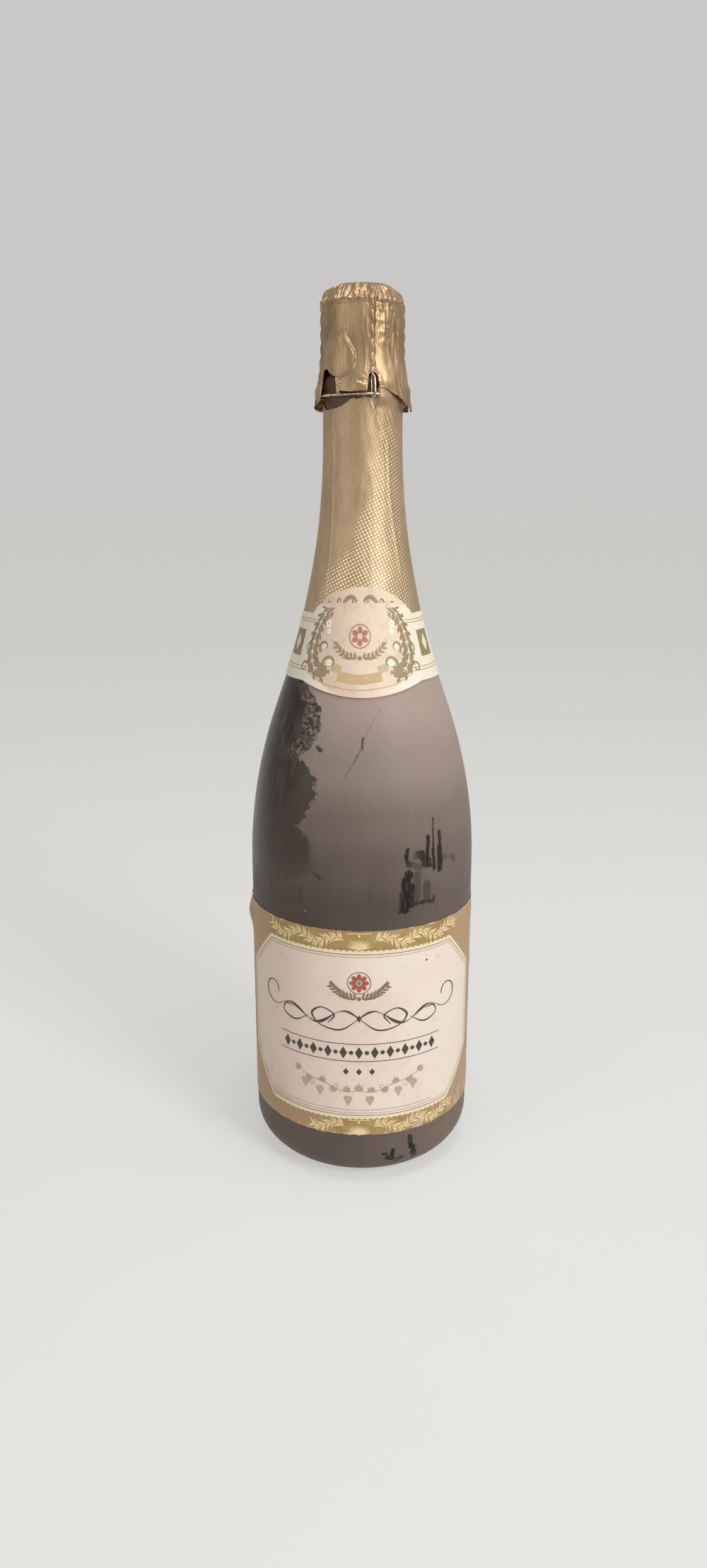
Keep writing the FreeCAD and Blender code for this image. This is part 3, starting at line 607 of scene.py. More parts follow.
def pale_wine():
    wine = Finish("pale_wine")
    cloud = wine.noise(30.0, 3.0)
    paint = wine.blend(cloud, (0.62, 0.46, 0.16), (0.72, 0.58, 0.26))
    wine.bump(wine.noise(12.0, 2.0), 0.05, 0.2)
    return wine.set(color=paint, roughness=0.05 + cloud * 0.05, ior=1.34)


OCHRE = (0.335, 0.215, 0.065)
OCHRE_PALE = (0.42, 0.285, 0.11)
TAN = (0.42, 0.27, 0.155)
CREAM = (0.75, 0.61, 0.51)
CREAM_WARM = (0.80, 0.69, 0.58)
OLIVE_INK = (0.16, 0.12, 0.055)

# Front label: its middle and radius, and its frame line's half width, middle, half height and corner cut
LABEL_TURN = -1.2
LABEL_RADIUS = 44.1
FRAME_HALF = 54.5
FRAME_MIDDLE = 63.5
FRAME_RISE = 33.5
FRAME_CORNER = 38.6


def printed_label():
    """Cream label paper, painted paler towards the right as painted light, with ochre bands and a double
    frame line with cut corners, worn and stained.
    """
    paper = Finish("printed_label_paper")
    arc = (paper.azimuth() - LABEL_TURN) * (math.radians(1.0) * LABEL_RADIUS)
    u = abs(arc)
    v = abs(paper.z - FRAME_MIDDLE)
    corner = (u + v - (FRAME_CORNER + FRAME_RISE)) * math.sqrt(0.5)
    gap = most(u - FRAME_HALF, v - FRAME_RISE, corner)

    fibre = paper.noise(0.5, 4.0)
    cloud = paper.noise(26.0, 4.0, shift=4.0)
    blotch = paper.noise(6.0, 5.0, roughness=0.65, shift=12.0)
    # Painted light: the arc term makes the paper paler towards the right, as if lit from there, over its
    # cloudy tone
    panel = paper.blend((cloud + arc * 0.006).step(0.35, 0.75), CREAM, CREAM_WARM)
    panel = paper.blend(blotch.step(0.56, 0.72) * 0.35, panel, (0.62, 0.47, 0.36))
    stain = (arc * 0.02 + paper.z * 0.022).step(0.42, -0.35)
    stain = stain * paper.noise(12.0, 5.0, shift=2.0).step(0.34, 0.62)
    panel = paper.blend(stain * 0.85, panel, (0.5, 0.36, 0.22))

    band = paper.blend(blotch.step(0.35, 0.7), OCHRE, OCHRE_PALE)
    plain = u.step(37.0, 43.0)
    faded = arc.step(-2.0, -26.0) * paper.z.step(40.0, 30.0)
    band = paper.blend(most(plain, faded * 0.7), band, TAN)
    scallop = abs((arc * (math.pi / 2.3)).sine())
    scallop = scallop * (1.0 - plain)
    inner = 1.25 + scallop * 0.55
    on_band = (gap - inner).step(-0.12, 0.12)
    color = paper.blend(on_band, paper.blend(gap.step(0.1, 0.3), panel, (0.8, 0.68, 0.46)), band)
    rim = (gap - inner).band(-0.05, 0.22, 0.08) * (1.0 - plain)
    outer_line = gap.band(-0.16, 0.16, 0.07)
    inner_line = gap.band(-1.2, -0.95, 0.07) * 0.8
    ink = most(outer_line, inner_line, rim * 0.6) * fibre.step(0.22, 0.5)
    color = paper.blend(ink, color, OLIVE_INK)

    # Paper shows white where the edges are rubbed
    side = u.step(64.5, 67.5)
    ends = most(paper.z.step(105.4, 106.2), paper.z.step(22.6, 21.8))
    scuff = paper.noise(3.5, 6.0, (1.0, 1.0, 2.6), 0.7, 21.0).step(0.52, 0.64)
    lower = paper.z.step(46.0, 24.0) * arc.step(4.0, 30.0)
    worn = scuff * most(side, ends * 0.8, lower * 0.55)
    color = paper.blend(worn * 0.85, color, (0.82, 0.74, 0.63))
    color = paper.blend(fibre.step(0.62, 0.8) * 0.25, color, (0.5, 0.4, 0.3))
    paper.bump(fibre * 0.5 + blotch * 0.5, 0.12, 0.35)
    return paper.set(color=color, roughness=0.48 + blotch * 0.2)


COLLAR_TURN = -2.0
COLLAR_RADIUS = 26.5


def collar_paper():
    """Cream collar paper with gold rules on its side bands and a pink flush in the medallion, darker towards
    the left as painted shade.
    """
    paper = Finish("collar_paper")
    arc = (paper.azimuth() - COLLAR_TURN) * (math.radians(1.0) * COLLAR_RADIUS)
    u = abs(arc)
    fibre = paper.noise(0.45, 4.0)
    blotch = paper.noise(5.0, 5.0, roughness=0.65, shift=8.0)
    # Painted shade: the pink flush grows stronger and darker towards the left
    flush_and_shade = (arc * -0.035 + paper.noise(11.0, 4.0)).step(0.25, 0.95)
    color = paper.blend(flush_and_shade, (0.70, 0.57, 0.43), (0.64, 0.49, 0.39))
    color = paper.blend(blotch.step(0.48, 0.68) * 0.55, color, (0.54, 0.39, 0.29))
    out_u = u * (1.0 / 20.8)
    out_v = (paper.z - 208.6) * (1.0 / 18.0)
    sides = (out_u * out_u + out_v * out_v).step(0.94, 1.06)
    sides = sides * paper.z.band(192.0, 222.0, 1.0)
    color = paper.blend(sides, color, paper.blend(blotch, (0.72, 0.65, 0.52), (0.78, 0.72, 0.59)))
    rules = most(*[paper.z.band(z - 0.16, z + 0.16, 0.06) for z in (216.6, 215.6, 199.8, 198.7)])
    color = paper.blend(rules * sides * 0.85, color, (0.36, 0.26, 0.1))
    block = u.band(26.6, 36.0, 0.1) * paper.z.band(203.2, 212.6, 0.1)
    color = paper.blend(block, color, paper.blend(blotch, (0.20, 0.15, 0.07), (0.33, 0.26, 0.13)))
    side_u = abs(u - 31.3)
    side_v = abs(paper.z - 207.9)
    lozenge = side_u * (1.0 / 2.2) + side_v * (1.0 / 3.2)
    color = paper.blend(lozenge.step(1.05, 0.95), color, (0.72, 0.65, 0.52))
    color = paper.blend(fibre.step(0.6, 0.78) * 0.3, color, (0.5, 0.38, 0.26))
    paper.bump(fibre * 0.5 + blotch * 0.5, 0.1, 0.35)
    return paper.set(color=color, roughness=0.5 + blotch * 0.2)


def ink(name, color, worn_to, wear):
    """Printing ink or gold leaf, worn through in specks."""
    print_ink = Finish(name)
    specks = print_ink.noise(0.9, 5.0, roughness=0.7).step(0.68 - wear * 0.3, 0.78 - wear * 0.2)
    cloud = print_ink.noise(4.0, 3.0, shift=6.0)
    paint = print_ink.blend(cloud, tuple(0.8 * c for c in color), tuple(min(1.0, 1.2 * c) for c in color))
    paint = print_ink.blend(specks * (wear * 2.0), paint, worn_to)
    print_ink.bump(print_ink.noise(0.4, 3.0), 0.04, 0.4)
    return print_ink.set(color=paint, roughness=0.42 + cloud * 0.2)


hood_finish = aged_foil("aged_gold_foil", (0.47, 0.322, 0.185), (0.26, 0.168, 0.09), 0.30)
neck_finish = aged_foil(
    "embossed_gold_foil", (0.485, 0.340, 0.208), (0.385, 0.262, 0.152), 0.40, lattice=True
)
wire_finish = galvanised_wire()

for name, finish in (
    ("glass_bottle", dusty_glass()),
    ("wine", pale_wine()),
    ("cork_body", pressed_cork()),
    ("cork_disc_upper", natural_cork()),
    ("cork_disc_lower", natural_cork()),
    ("cap_plaque", painted_plate()),
    ("cage_belt", wire_finish),
    ("collar_label", collar_paper()),
):
    mesh = nodes[name].data
    mesh.materials.clear()
    mesh.materials.append(finish)


# Wire cage: a leg comes over the cap's rim, lies on the cork head and flares to the belt
LEGS = (13.0, 103.0, -167.0, -77.0)
WIRE = 0.35
CROWN_WIRE = 0.45
CROWN_RADIUS = 9.3
CROWN_HEIGHT = 329.6
FOOT_RADIUS = 16.35
BELT_HEIGHT = 294.145
LEG_PATH = [
    (CROWN_RADIUS, CROWN_HEIGHT), (11.3, 329.35), (12.95, 328.2), (14.1, 326.2), (14.5, 323.4),
    (14.55, 318.0), (14.55, 312.0), (14.75, 306.5), (15.3, 301.0), (16.0, 297.2), (FOOT_RADIUS, 295.1),
]
# The length of one twist, how far above the foot it starts to open, stops turning and is open, and the eye's
# reach and half width
LEG_TWIST = 9.2
TWIST_OPENS = 6.5
TWIST_STOPS = 5.0
TWIST_OPEN = 4.0
EYE = 0.95
EYE_HALF = 0.5


def leg_line(count):
    """Length, radius, height and outward direction along a leg, from the crown to its foot."""
    path = smooth_path(LEG_PATH, 400)
    length = np.concatenate([[0.0], np.cumsum(np.linalg.norm(np.diff(path, axis=0), axis=1))])
    s = np.linspace(0.0, length[-1], count)
    radius, height = np.interp(s, length, path[:, 0]), np.interp(s, length, path[:, 1])
    ahead = np.column_stack([np.gradient(radius), np.gradient(height)])
    ahead /= np.linalg.norm(ahead, axis=1)[:, None]
    return s, radius, height, -ahead[:, 1], ahead[:, 0]


def cage_leg(azimuth):
    """One wire: down a leg, round the belt in an eye, and back up twisted with itself."""
    s, radius, height, out_r, out_z = leg_line(150)
    twisted = 1.0 - ramp(s, s[-1] - TWIST_OPENS, s[-1] - TWIST_OPEN)
    phase = 2.0 * math.pi * np.minimum(s, s[-1] - TWIST_STOPS) / LEG_TWIST
    strands = []
    for side in (1.0, -1.0):
        across = side * (WIRE * np.sin(phase) * twisted + EYE_HALF * (1.0 - twisted))
        proud = side * (WIRE * np.cos(phase) * twisted + 0.75 * EYE * (1.0 - twisted))
        strands.append(np.column_stack([across, radius + proud * out_r, height + proud * out_z]))
    half = np.linspace(0.15, math.pi - 0.15, 14)
    eye = [EYE_HALF * np.cos(half), FOOT_RADIUS + EYE * np.cos(half), BELT_HEIGHT - EYE * np.sin(half)]
    path = np.vstack([strands[0], np.column_stack(eye), strands[1][::-1]])
    return upright(azimuth, *path.T)


cage_legs = bent_wire("cage_legs", [cage_leg(turn) for turn in LEGS], WIRE)
finished(cage_legs, "cage", wire_finish, "wire", "cage_frame")
turns = np.linspace(0.0, 360.0, 96, endpoint=False)
crown = placed(turns, CROWN_RADIUS, np.full(len(turns), CROWN_HEIGHT))
crown_ring = bent_wire("crown_ring", [crown], CROWN_WIRE, sides=4, cyclic=True)
finished(crown_ring, "cage", wire_finish, "wire")

# Loop and twist: a stem of two strands under a round eye, on the belt's free side
LOOP_TURN = -32.0
STEM_RADIUS = 16.0
LOOP_LEAN = 0.07
LOOP_BEND = 0.042
STEM_LOW = 294.75
STEM_HIGH = 300.75
LOOP_HEIGHT = 305.74
LOOP_RADIUS = 5.0
LOOP_TWISTS = 2.5
KNOT_WIRE = 0.26
KNOT_ENDS = (15.15, 16.3)


def loop_level(across, rise):
    """How far out the eye's wire lies, as it leans in towards its top and bends round the cork."""
    return STEM_RADIUS - LOOP_LEAN * (rise + LOOP_RADIUS) - LOOP_BEND * across ** 2


def eyelet():
    """One wire: up the twisted stem, round the eye and down again."""
    z = np.linspace(STEM_LOW, STEM_HIGH, 60)
    share = (z - STEM_LOW) / (STEM_HIGH - STEM_LOW)
    phase = 2.0 * math.pi * LOOP_TWISTS * share + math.pi / 2
    across, proud = WIRE * np.sin(phase), WIRE * np.cos(phase)
    strand = upright(LOOP_TURN, across, STEM_RADIUS + proud, z)
    other = upright(LOOP_TURN, -across, STEM_RADIUS - proud, z)
    first = 1.0 if across[-1] > 0 else -1.0
    t = np.linspace(0.10, 2.0 * math.pi - 0.10, 90)
    across, rise = first * LOOP_RADIUS * np.sin(t), -LOOP_RADIUS * np.cos(t)
    eye = upright(LOOP_TURN, across, loop_level(across, rise), LOOP_HEIGHT + rise)
    return np.vstack([strand, eye, other[::-1]])


eyelet_wire = bent_wire("eyelet_wire", [eyelet()], WIRE)
finished(eyelet_wire, "loop", wire_finish, "wire", "eyelet_loop")

t = np.linspace(0.0, 5.0 * math.pi, 70)
out = np.linspace(*KNOT_ENDS, 70)
coil = upright(LOOP_TURN, 0.5 * np.sin(t), out, BELT_HEIGHT + 0.35 * np.cos(t))
knot_wire = bent_wire("knot_wire", [coil], KNOT_WIRE)
finished(knot_wire, "twist", wire_finish, "wire", "twist_knot")

# Foil hood
HOOD_PROFILE = [
    (17.4, 289.6), (17.15, 292.4), (16.8, 294.8), (16.05, 299.0), (15.25, 302.8), (14.8, 306.4),
    (14.65, 310.4), (14.6, 314.6), (14.55, 318.2), (14.45, 321.4), (14.3, 323.4), (14.1, 324.8),
    (13.5, 326.6), (12.6, 328.2), (11.4, 329.5), (9.9, 330.35), (7.6, 330.7), (5.0, 330.72),
    (2.6, 330.7), (0.7, 330.7),
]
# The rim's height round the hood: the tear on the left, the windows at the feet and the cut over the belt
HOOD_RIM = [
    (-180, 289.7), (-171.5, 289.9), (-170.4, 299.0), (-163.6, 299.3), (-162.5, 289.8), (-120, 289.7),
    (-100, 290.1), (-88, 290.5), (-82, 291.2), (-80.6, 297.6), (-73.8, 298.2), (-72.6, 291.2),
    (-66, 291.8), (-62.6, 292.4), (-61.4, 302.6), (-55, 302.9), (-46, 302.2), (-38, 301.4),
    (-34.6, 300.7), (-33.8, 295.4), (-24, 295.15), (-8, 294.95), (5.6, 295.2), (6.8, 299.6),
    (9.5, 300.9), (13, 301.3), (16.5, 300.8), (19, 299.4), (20, 296.4), (28, 295.9), (36, 295.1),
    (45, 294.0), (53, 292.7), (62, 291.2), (72, 290.0), (86, 289.4), (98.9, 289.5), (100.1, 298.6),
    (106.2, 298.3), (107.3, 289.5), (140, 289.7), (180, 289.7),
]
# Rows of the profile that make the side, the height up to which the rim's cut moves the foil, how far the
# hood leans left, the crease under its cap, and the radius that its cap is unrolled on
HOOD_SIDE = 13
HOOD_FIXED = 307.0
HOOD_LEAN = 0.3
CREASE = 324.6
ROLL = 14.0
# The foil pressed over the loop, its reach and the radius it starts from, the disc of it that rides on the
# loop, and the hole below
LOOP_EDGE = 5.75
TENT_REACH = 6.0
TENT_RADIUS = 15.6
FLAP = 5.8
HOLE = 5.2
# How far the foil's outside lies off a leg, the loop and the belt, and the neck foil's off the belt
LEG_COVER = 0.22
LOOP_COVER = 0.24
BELT_COVER = 0.95
NECK_COVER = 0.55
# The belt's line: a square's half width, and its corners' radius, middle and half span
BELT_HALF = 14.65
BELT_CORNER = 10.546
BELT_MIDDLE = 5.804
BELT_SPAN = 29.3
# The cork's head and its rounded edge, and how far the foil lies off them
CORK_HEAD = 13.8
CORK_ROUND = 4.5
CORK_ROUND_HEIGHT = 323.95
HEAD_GAP = 0.3
ROUND_GAP = 0.45


def leg_lift(azimuth, radius, height):
    """Moves points of the foil out over the twisted legs."""
    s, line_r, line_z, out_r, out_z = leg_line(240)
    nearest = np.array([np.argmin((r - line_r) ** 2 + (z - line_z) ** 2) for r, z in zip(radius, height)])
    out_r, out_z = out_r[nearest], out_z[nearest]
    gap = (radius - line_r[nearest]) * out_r + (height - line_z[nearest]) * out_z
    phase = 2.0 * math.pi * s[nearest] / LEG_TWIST
    lift = np.zeros(len(radius))
    for leg in LEGS:
        near = np.radians(turn_between(azimuth, leg)) * radius
        cover = np.full(len(radius), -9.0)
        for side in (1.0, -1.0):
            off = near - side * WIRE * np.sin(phase)
            crest = side * WIRE * np.cos(phase) + WIRE + LEG_COVER
            cover = np.maximum(cover, crest - 1.1 * np.abs(off) ** 1.6)
        wanted = cover - gap
        lift += np.where(np.abs(near) < 4.0, 0.5 * (wanted + np.sqrt(wanted ** 2 + 0.012)), 0.0)
    lift *= ramp(radius, CROWN_RADIUS - 1.2, CROWN_RADIUS + 0.8)
    return radius + lift * out_r, height + lift * out_z


def loop_tent(azimuth, radius, height):
    """Stretches the foil out to the loop: steeply on its right, and gently to the left leg and upwards."""
    turn = np.clip(np.radians(turn_between(azimuth, LOOP_TURN)), -1.2, 1.2)
    across, rise = TENT_RADIUS * np.tan(turn), height - LOOP_HEIGHT
    reach = np.hypot(across, rise) + 1e-6
    width = 0.6 + 5.0 * np.maximum(-across / reach, 0.0) + 5.5 * np.maximum(rise / reach, 0.0) ** 10
    near, level = np.clip([across, rise], -TENT_REACH, TENT_REACH)
    level = loop_level(near, level) + WIRE + LOOP_COVER
    share = ramp(reach, LOOP_EDGE + width, LOOP_EDGE)
    return radius + share * np.maximum(np.hypot(level, near) - radius, 0.0)


def belt_reach(azimuth):
    """Radius of the belt's line: a square with rounded corners at the feet."""
    off = (azimuth - LEGS[0]) % 90.0
    off = np.radians(np.minimum(off, 90.0 - off))
    corner = BELT_MIDDLE * np.cos(off) + np.sqrt(BELT_CORNER ** 2 - (BELT_MIDDLE * np.sin(off)) ** 2)
    return np.where(off < math.radians(BELT_SPAN), corner, BELT_HALF / np.cos(math.pi / 4.0 - off))


def clear_of_cork(radius, height):
    """Keeps the foil outside the cork's head."""
    low = height < CORK_ROUND_HEIGHT
    radius = np.where(low, np.maximum(radius, CORK_HEAD + HEAD_GAP), radius)
    dr, dz = radius - CROWN_RADIUS, height - CORK_ROUND_HEIGHT
    grow = np.maximum((CORK_ROUND + ROUND_GAP) / np.maximum(np.hypot(dr, dz), 1e-6), 1.0)
    grow = np.where(~low & (dr > 0), grow, 1.0)
    return CROWN_RADIUS + dr * grow, CORK_ROUND_HEIGHT + dz * grow


def crinkle(points, azimuth, radius, height):
    """Relief of the crushed foil along its outward direction."""
    rolled = placed(azimuth, ROLL, height - (radius - ROLL))
    crease = CREASE + 1.0 * waves(rolled * [1, 1, 0], 2.2, 1.0, 5.0)
    cap = ramp(height, crease - 0.5, crease + 0.6)
    rim_only = ramp(radius, 4.0, 9.5)
    fold = creases(rolled, 1.25, 6.0, 3.0)
    fine = creases(points, 1.0, 1.3, 8.0)
    relief = cap * rim_only * (0.50 * fold + 0.10 * fine)
    relief += cap * (1.0 - rim_only) * 0.10 * creases(points, 3.0, 3.0, 5.0)
    relief += 0.40 * np.exp(-((height - crease - 0.6) / 0.8) ** 2) * (1.0 + 0.8 * fold)
    relief -= 0.25 * np.exp(-((height - crease + 0.6) / 0.55) ** 2)
    side = 1.0 - cap
    right = ramp(azimuth, 14, 22) * ramp(azimuth, 66, 48) * ramp(height, 308, 313)
    left = ramp(azimuth, -50, -64) * ramp(azimuth, -120, -95)
    back = ramp(np.abs(azimuth), 95, 125)
    crush = 0.20 * np.maximum(creases(points, 2.6, 3.2, 1.0), 0.0) + 0.07 * fine
    relief += side * (right + 0.7 * left + 0.7 * back) * crush
    skirt = ramp(height, 312, 300)
    drape = 0.24 * np.maximum(creases(points, 2.3, 14.0, 6.0), -0.2)
    relief += side * (0.35 + 0.9 * ramp(azimuth, 34, 52) * ramp(azimuth, 120, 90)) * drape
    relief += side * skirt * 0.2 * waves(points, 5.0, 9.0, 2.0)
    patch = np.exp(-((turn_between(azimuth, 0.5) / 6.0) ** 2) - ((height - 298.2) / 2.2) ** 2)
    relief += patch * 0.34 * creases(points, 0.9, 0.9, 4.0)
    foot = np.exp(-((turn_between(azimuth, 13.0) / 7.0) ** 2) - ((height - 300.8) / 1.8) ** 2)
    relief += foot * 0.5 * creases(points, 0.9, 1.0, 2.0)
    low = ramp(height, 293.4, 290.6)
    relief += low * 0.3 * creases(points, 1.4, 1.8, 7.0)
    return relief


def hood_surface(height):
    """Mean radius of the hood's side at heights."""
    profile = np.array(HOOD_PROFILE[:HOOD_SIDE])
    return np.interp(height, profile[:, 1], profile[:, 0])


def shape_hood(hood):
    """Cuts the rim, and fits the foil to the loop, the cork, the belt and the legs."""
    points = points_of(hood)
    azimuth, radius, height = around(points)
    rim_turn, rim_height = np.array(HOOD_RIM, float).T
    jag = 0.35 * waves(points * [1, 1, 0], 0.9, 1.0, 11.0) + 0.2 * waves(points * [1, 1, 0], 2.6, 1.0, 4.0)
    rim = np.interp(azimuth, rim_turn, rim_height) + jag
    low = height.min()
    share = (height - low) / (HOOD_FIXED - low)
    cut = np.where(height < HOOD_FIXED, rim + share * (HOOD_FIXED - rim), height)
    order = np.argsort(height)
    keep = height[order] <= HOOD_FIXED + 1.0
    radius = np.where(height < HOOD_FIXED, np.interp(cut, height[order][keep], radius[order][keep]), radius)
    height = cut
    radius = loop_tent(azimuth, radius, height)
    points = placed(azimuth, radius, height)
    relief = crinkle(points, azimuth, radius, height)
    dome = ramp(height, 326.0, 330.2)
    radius = radius + relief * (1.0 - dome)
    height = height + relief * dome * 0.7
    points = placed(azimuth, radius, height)
    points[:, 0] -= HOOD_LEAN * ramp(height, 302, 331)
    azimuth, radius, height = around(points)
    radius, height = clear_of_cork(radius, height)
    room = belt_reach(azimuth) + BELT_COVER
    radius = radius + ramp(height, 298.6, 296.2) * np.maximum(room - radius, 0.0)
    radius, height = leg_lift(azimuth, radius, height)
    set_points(hood, placed(azimuth, radius, height))


def cut_round_hole(piece, reach):
    """Opens the hood under the loop's flap."""
    pick(piece)
    start_edit('FACE', 'DESELECT')
    bpy.ops.object.mode_set(mode='OBJECT')
    azimuth, radius, height = around(np.array([face.center for face in piece.data.polygons]) / MM)
    turn = np.radians(azimuth - LOOP_TURN)
    inside = (np.cos(turn) > 0.0) & (np.hypot(radius * np.sin(turn), height - LOOP_HEIGHT) < reach)
    piece.data.polygons.foreach_set("select", inside.tolist())
    bpy.ops.object.mode_set(mode='EDIT')
    bpy.ops.mesh.delete(type='FACE')
    bpy.ops.object.mode_set(mode='OBJECT')


foil_hood = turned_skin("crushed_hood", HOOD_PROFILE, sides=36, levels=3, closed=True)
shape_hood(foil_hood)
cut_round_hole(foil_hood, HOLE)
thickened(foil_hood, FOIL_WALL, FOIL_SMOOTH)
finished(foil_hood, "hood", hood_finish, "hood_foil", "foil_hood")

# The foil pressed over the loop stays on the loop when that is folded out
circle = bpy.ops.mesh.primitive_circle_add
loop_flap = primitive("loop_flap", circle, vertices=32, radius=FLAP * MM, fill_type='NGON')
start_edit('FACE', 'SELECT')
for margin in (0.25, 0.3, 0.35, 0.4, 0.5, 0.7, 0.9, 1.0):
    bpy.ops.mesh.inset(thickness=margin * MM)
bpy.ops.mesh.merge(type='CENTER')
bpy.ops.object.mode_set(mode='OBJECT')
subdivided(loop_flap, 2)
across, rise, _ = points_of(loop_flap).T
reach = np.hypot(across, rise)
height = LOOP_HEIGHT + rise
out = np.full(len(across), STEM_RADIUS)
# Azimuth and depth depend on each other, so they are found in turns
for _ in range(4):
    sector = LOOP_TURN + np.degrees(np.arctan2(across, out))
    spread = loop_tent(sector, hood_surface(height), height)
    out = np.sqrt(spread ** 2 - across ** 2)
spread = spread + crinkle(placed(sector, spread, height), sector, spread, height)
# Its edge sinks to meet the hood, and its middle between the wires
sunk = 0.11 * ramp(reach, FLAP - 0.9, FLAP) + 0.10 * ramp(reach, 4.6, 0.0)
out = np.sqrt(spread ** 2 - across ** 2) + 0.07 - sunk
set_points(loop_flap, upright(LOOP_TURN, across, out, height))
thickened(loop_flap, FOIL_WALL, FOIL_SMOOTH)
finished(loop_flap, "loop", hood_finish, "hood_foil")

# Neck foil, laid on the glass
glass_heights, glass_radii = outside("glass_bottle")
NECK_LOW, NECK_HIGH = 204.4, 293.1
NECK_GAP = 0.2
# The torn upper edge's height round the neck
TORN_TURNS = (-180, -100, -78, -62, -45, -30, -20, 4, 60, 180)
TORN_HEIGHTS = (293, 293, 291.5, 289.2, 289.6, 290.4, 292.2, 293.3, 293.4, 293)
# Short pleats as azimuth at the top and at the foot, and rise
PLEAT_TOP, PLEAT_DROP = 293.0, 15.0
PLEAT_RADIUS = 14.3
PLEAT_WIDTH = 0.36
PLEATS = [
    (15.0, 42.0, 0.55), (20.0, 47.0, 0.5), (26.0, 54.0, 0.4), (9.0, 33.0, 0.3), (34.0, 62.0, 0.3),
    (-62.0, -50.0, 0.2),
]
# Long folds as heights, azimuths there, and rise
FOLD_WIDTH = 0.5
FOLDS = [
    ((225.0, 242.4, 260.4, 278.0, 291.9), (49.0, 45.2, 39.2, 37.6, 15.7), 0.42),
    ((258.0, 274.8, 285.9), (36.0, 28.9, 21.1), 0.26),
    ((215.0, 245.6, 284.5), (-41.0, -43.0, -48.9), 0.30),
]


def glass_at(height):
    return np.interp(height, glass_heights, glass_radii)


neck_rows = [(float(glass_at(z)) + NECK_GAP, z) for z in np.linspace(NECK_LOW, NECK_HIGH, 34)]
neck_foil = turned_skin("neck_wrap", neck_rows, sides=48, levels=2)
points = points_of(neck_foil)
azimuth, radius, height = around(points)
upper = ramp(height, 268, 288)
torn = np.interp(azimuth, TORN_TURNS, TORN_HEIGHTS)
torn = torn + 0.5 * waves(points * [1, 1, 0], 1.2, 1.0, 2.0)
# On the right the foil is drawn up over the belt
over_belt = ramp(azimuth, 15.5, 21.0) * ramp(azimuth, 98.0, 92.0)
torn = torn + 3.9 * over_belt
height = NECK_LOW + (height - NECK_LOW) * (torn - NECK_LOW) / (NECK_HIGH - NECK_LOW)
pleats = np.zeros(len(points))
for top, foot, rise in PLEATS:
    line = top + (foot - top) * (PLEAT_TOP - height) / PLEAT_DROP
    off = np.radians(turn_between(azimuth, line)) * PLEAT_RADIUS
    pleats += rise * np.exp(-(off / PLEAT_WIDTH) ** 2) * ramp(height, 271, 284)
for levels, turns, rise in FOLDS:
    off = np.radians(turn_between(azimuth, np.interp(height, levels, turns))) * radius
    along = ramp(height, levels[0], levels[0] + 12.0) * ramp(height, 292.0, 284.0)
    pleats += rise * np.exp(-(off / FOLD_WIDTH) ** 2) * along
soft = 0.10 * np.maximum(creases(points, 3.0, 40.0, 9.0), 0.0)
soft = soft + 0.12 * upper * np.maximum(creases(points, 2.2, 6.0, 3.0), 0.0)
edge = 0.25 * ramp(height, torn - 1.2, torn) * np.maximum(creases(points, 1.1, 1.1, 6.0), 0.0)
radius = glass_at(height) + NECK_GAP
flare = over_belt * ramp(height, 289.8, 293.2) * np.maximum(belt_reach(azimuth) + NECK_COVER - radius, 0.0)
radius = radius + flare + (soft + pleats) * ramp(height, 294.5, 292.0) + edge * (1.0 - over_belt)
set_points(neck_foil, placed(azimuth, radius, height))
thickened(neck_foil, NECK_WALL, FOIL_SMOOTH)
finished(neck_foil, "bottle", neck_finish, "neck_foil", "foil_neck")

# Front label
LABEL_HALF = 92.0
LABEL_LOW, LABEL_HIGH = 21.5, 106.3
LABEL_FRAY = 0.8
LABEL_PEEL = 1.5
BODY_RADIUS = 44.0
grid = bpy.ops.mesh.primitive_grid_add
label = primitive("label_sheet", grid, x_subdivisions=160, y_subdivisions=72, size=1.0)
flat = points_of(label) * MM
azimuth = flat[:, 0] * 2.0 * LABEL_HALF
height = LABEL_LOW + (flat[:, 1] + 0.5) * (LABEL_HIGH - LABEL_LOW)
points = placed(azimuth, BODY_RADIUS, height)
fray = 0.25 * waves(points, 2.0, 2.0, 3.0)
ends = ramp(height, LABEL_HIGH - LABEL_FRAY, LABEL_HIGH) + ramp(height, LABEL_LOW + LABEL_FRAY, LABEL_LOW)
height = height + fray * ends
# The upper left edge lifts, and the right edge a little
peel = ramp(azimuth, -72, -86) * np.exp(-((height - 98.5) / 4.5) ** 2)
peel = peel + 0.25 * ramp(azimuth, 80, 91) * ramp(waves(points, 9.0, 9.0, 1.0), -0.2, 0.4)
blisters = 0.05 * np.maximum(creases(points, 5.0, 8.0, 2.0), 0.0)
radius = LABEL_RADIUS + blisters + LABEL_PEEL * peel
set_points(label, placed(azimuth, radius, height))
thickened(label, PAPER_WALL, SMOOTH)
finished(label, "bottle", printed_label(), "label_paper", "front_label")


# Printed ornament: flat shapes in mm along the paper, wrapped on the bottle. A stroke is split into strips by
# this half width, so that it follows the curve
STRIP_HALF = 0.65


def turned(u, v, angle, places):
    """Places of (along, across, lift), turned by an angle and moved to a point of the paper."""
    along, across = math.cos(math.radians(angle)), math.sin(math.radians(angle))
    return [(u + a * along - b * across, v + a * across + b * along, lift) for a, b, lift in places]


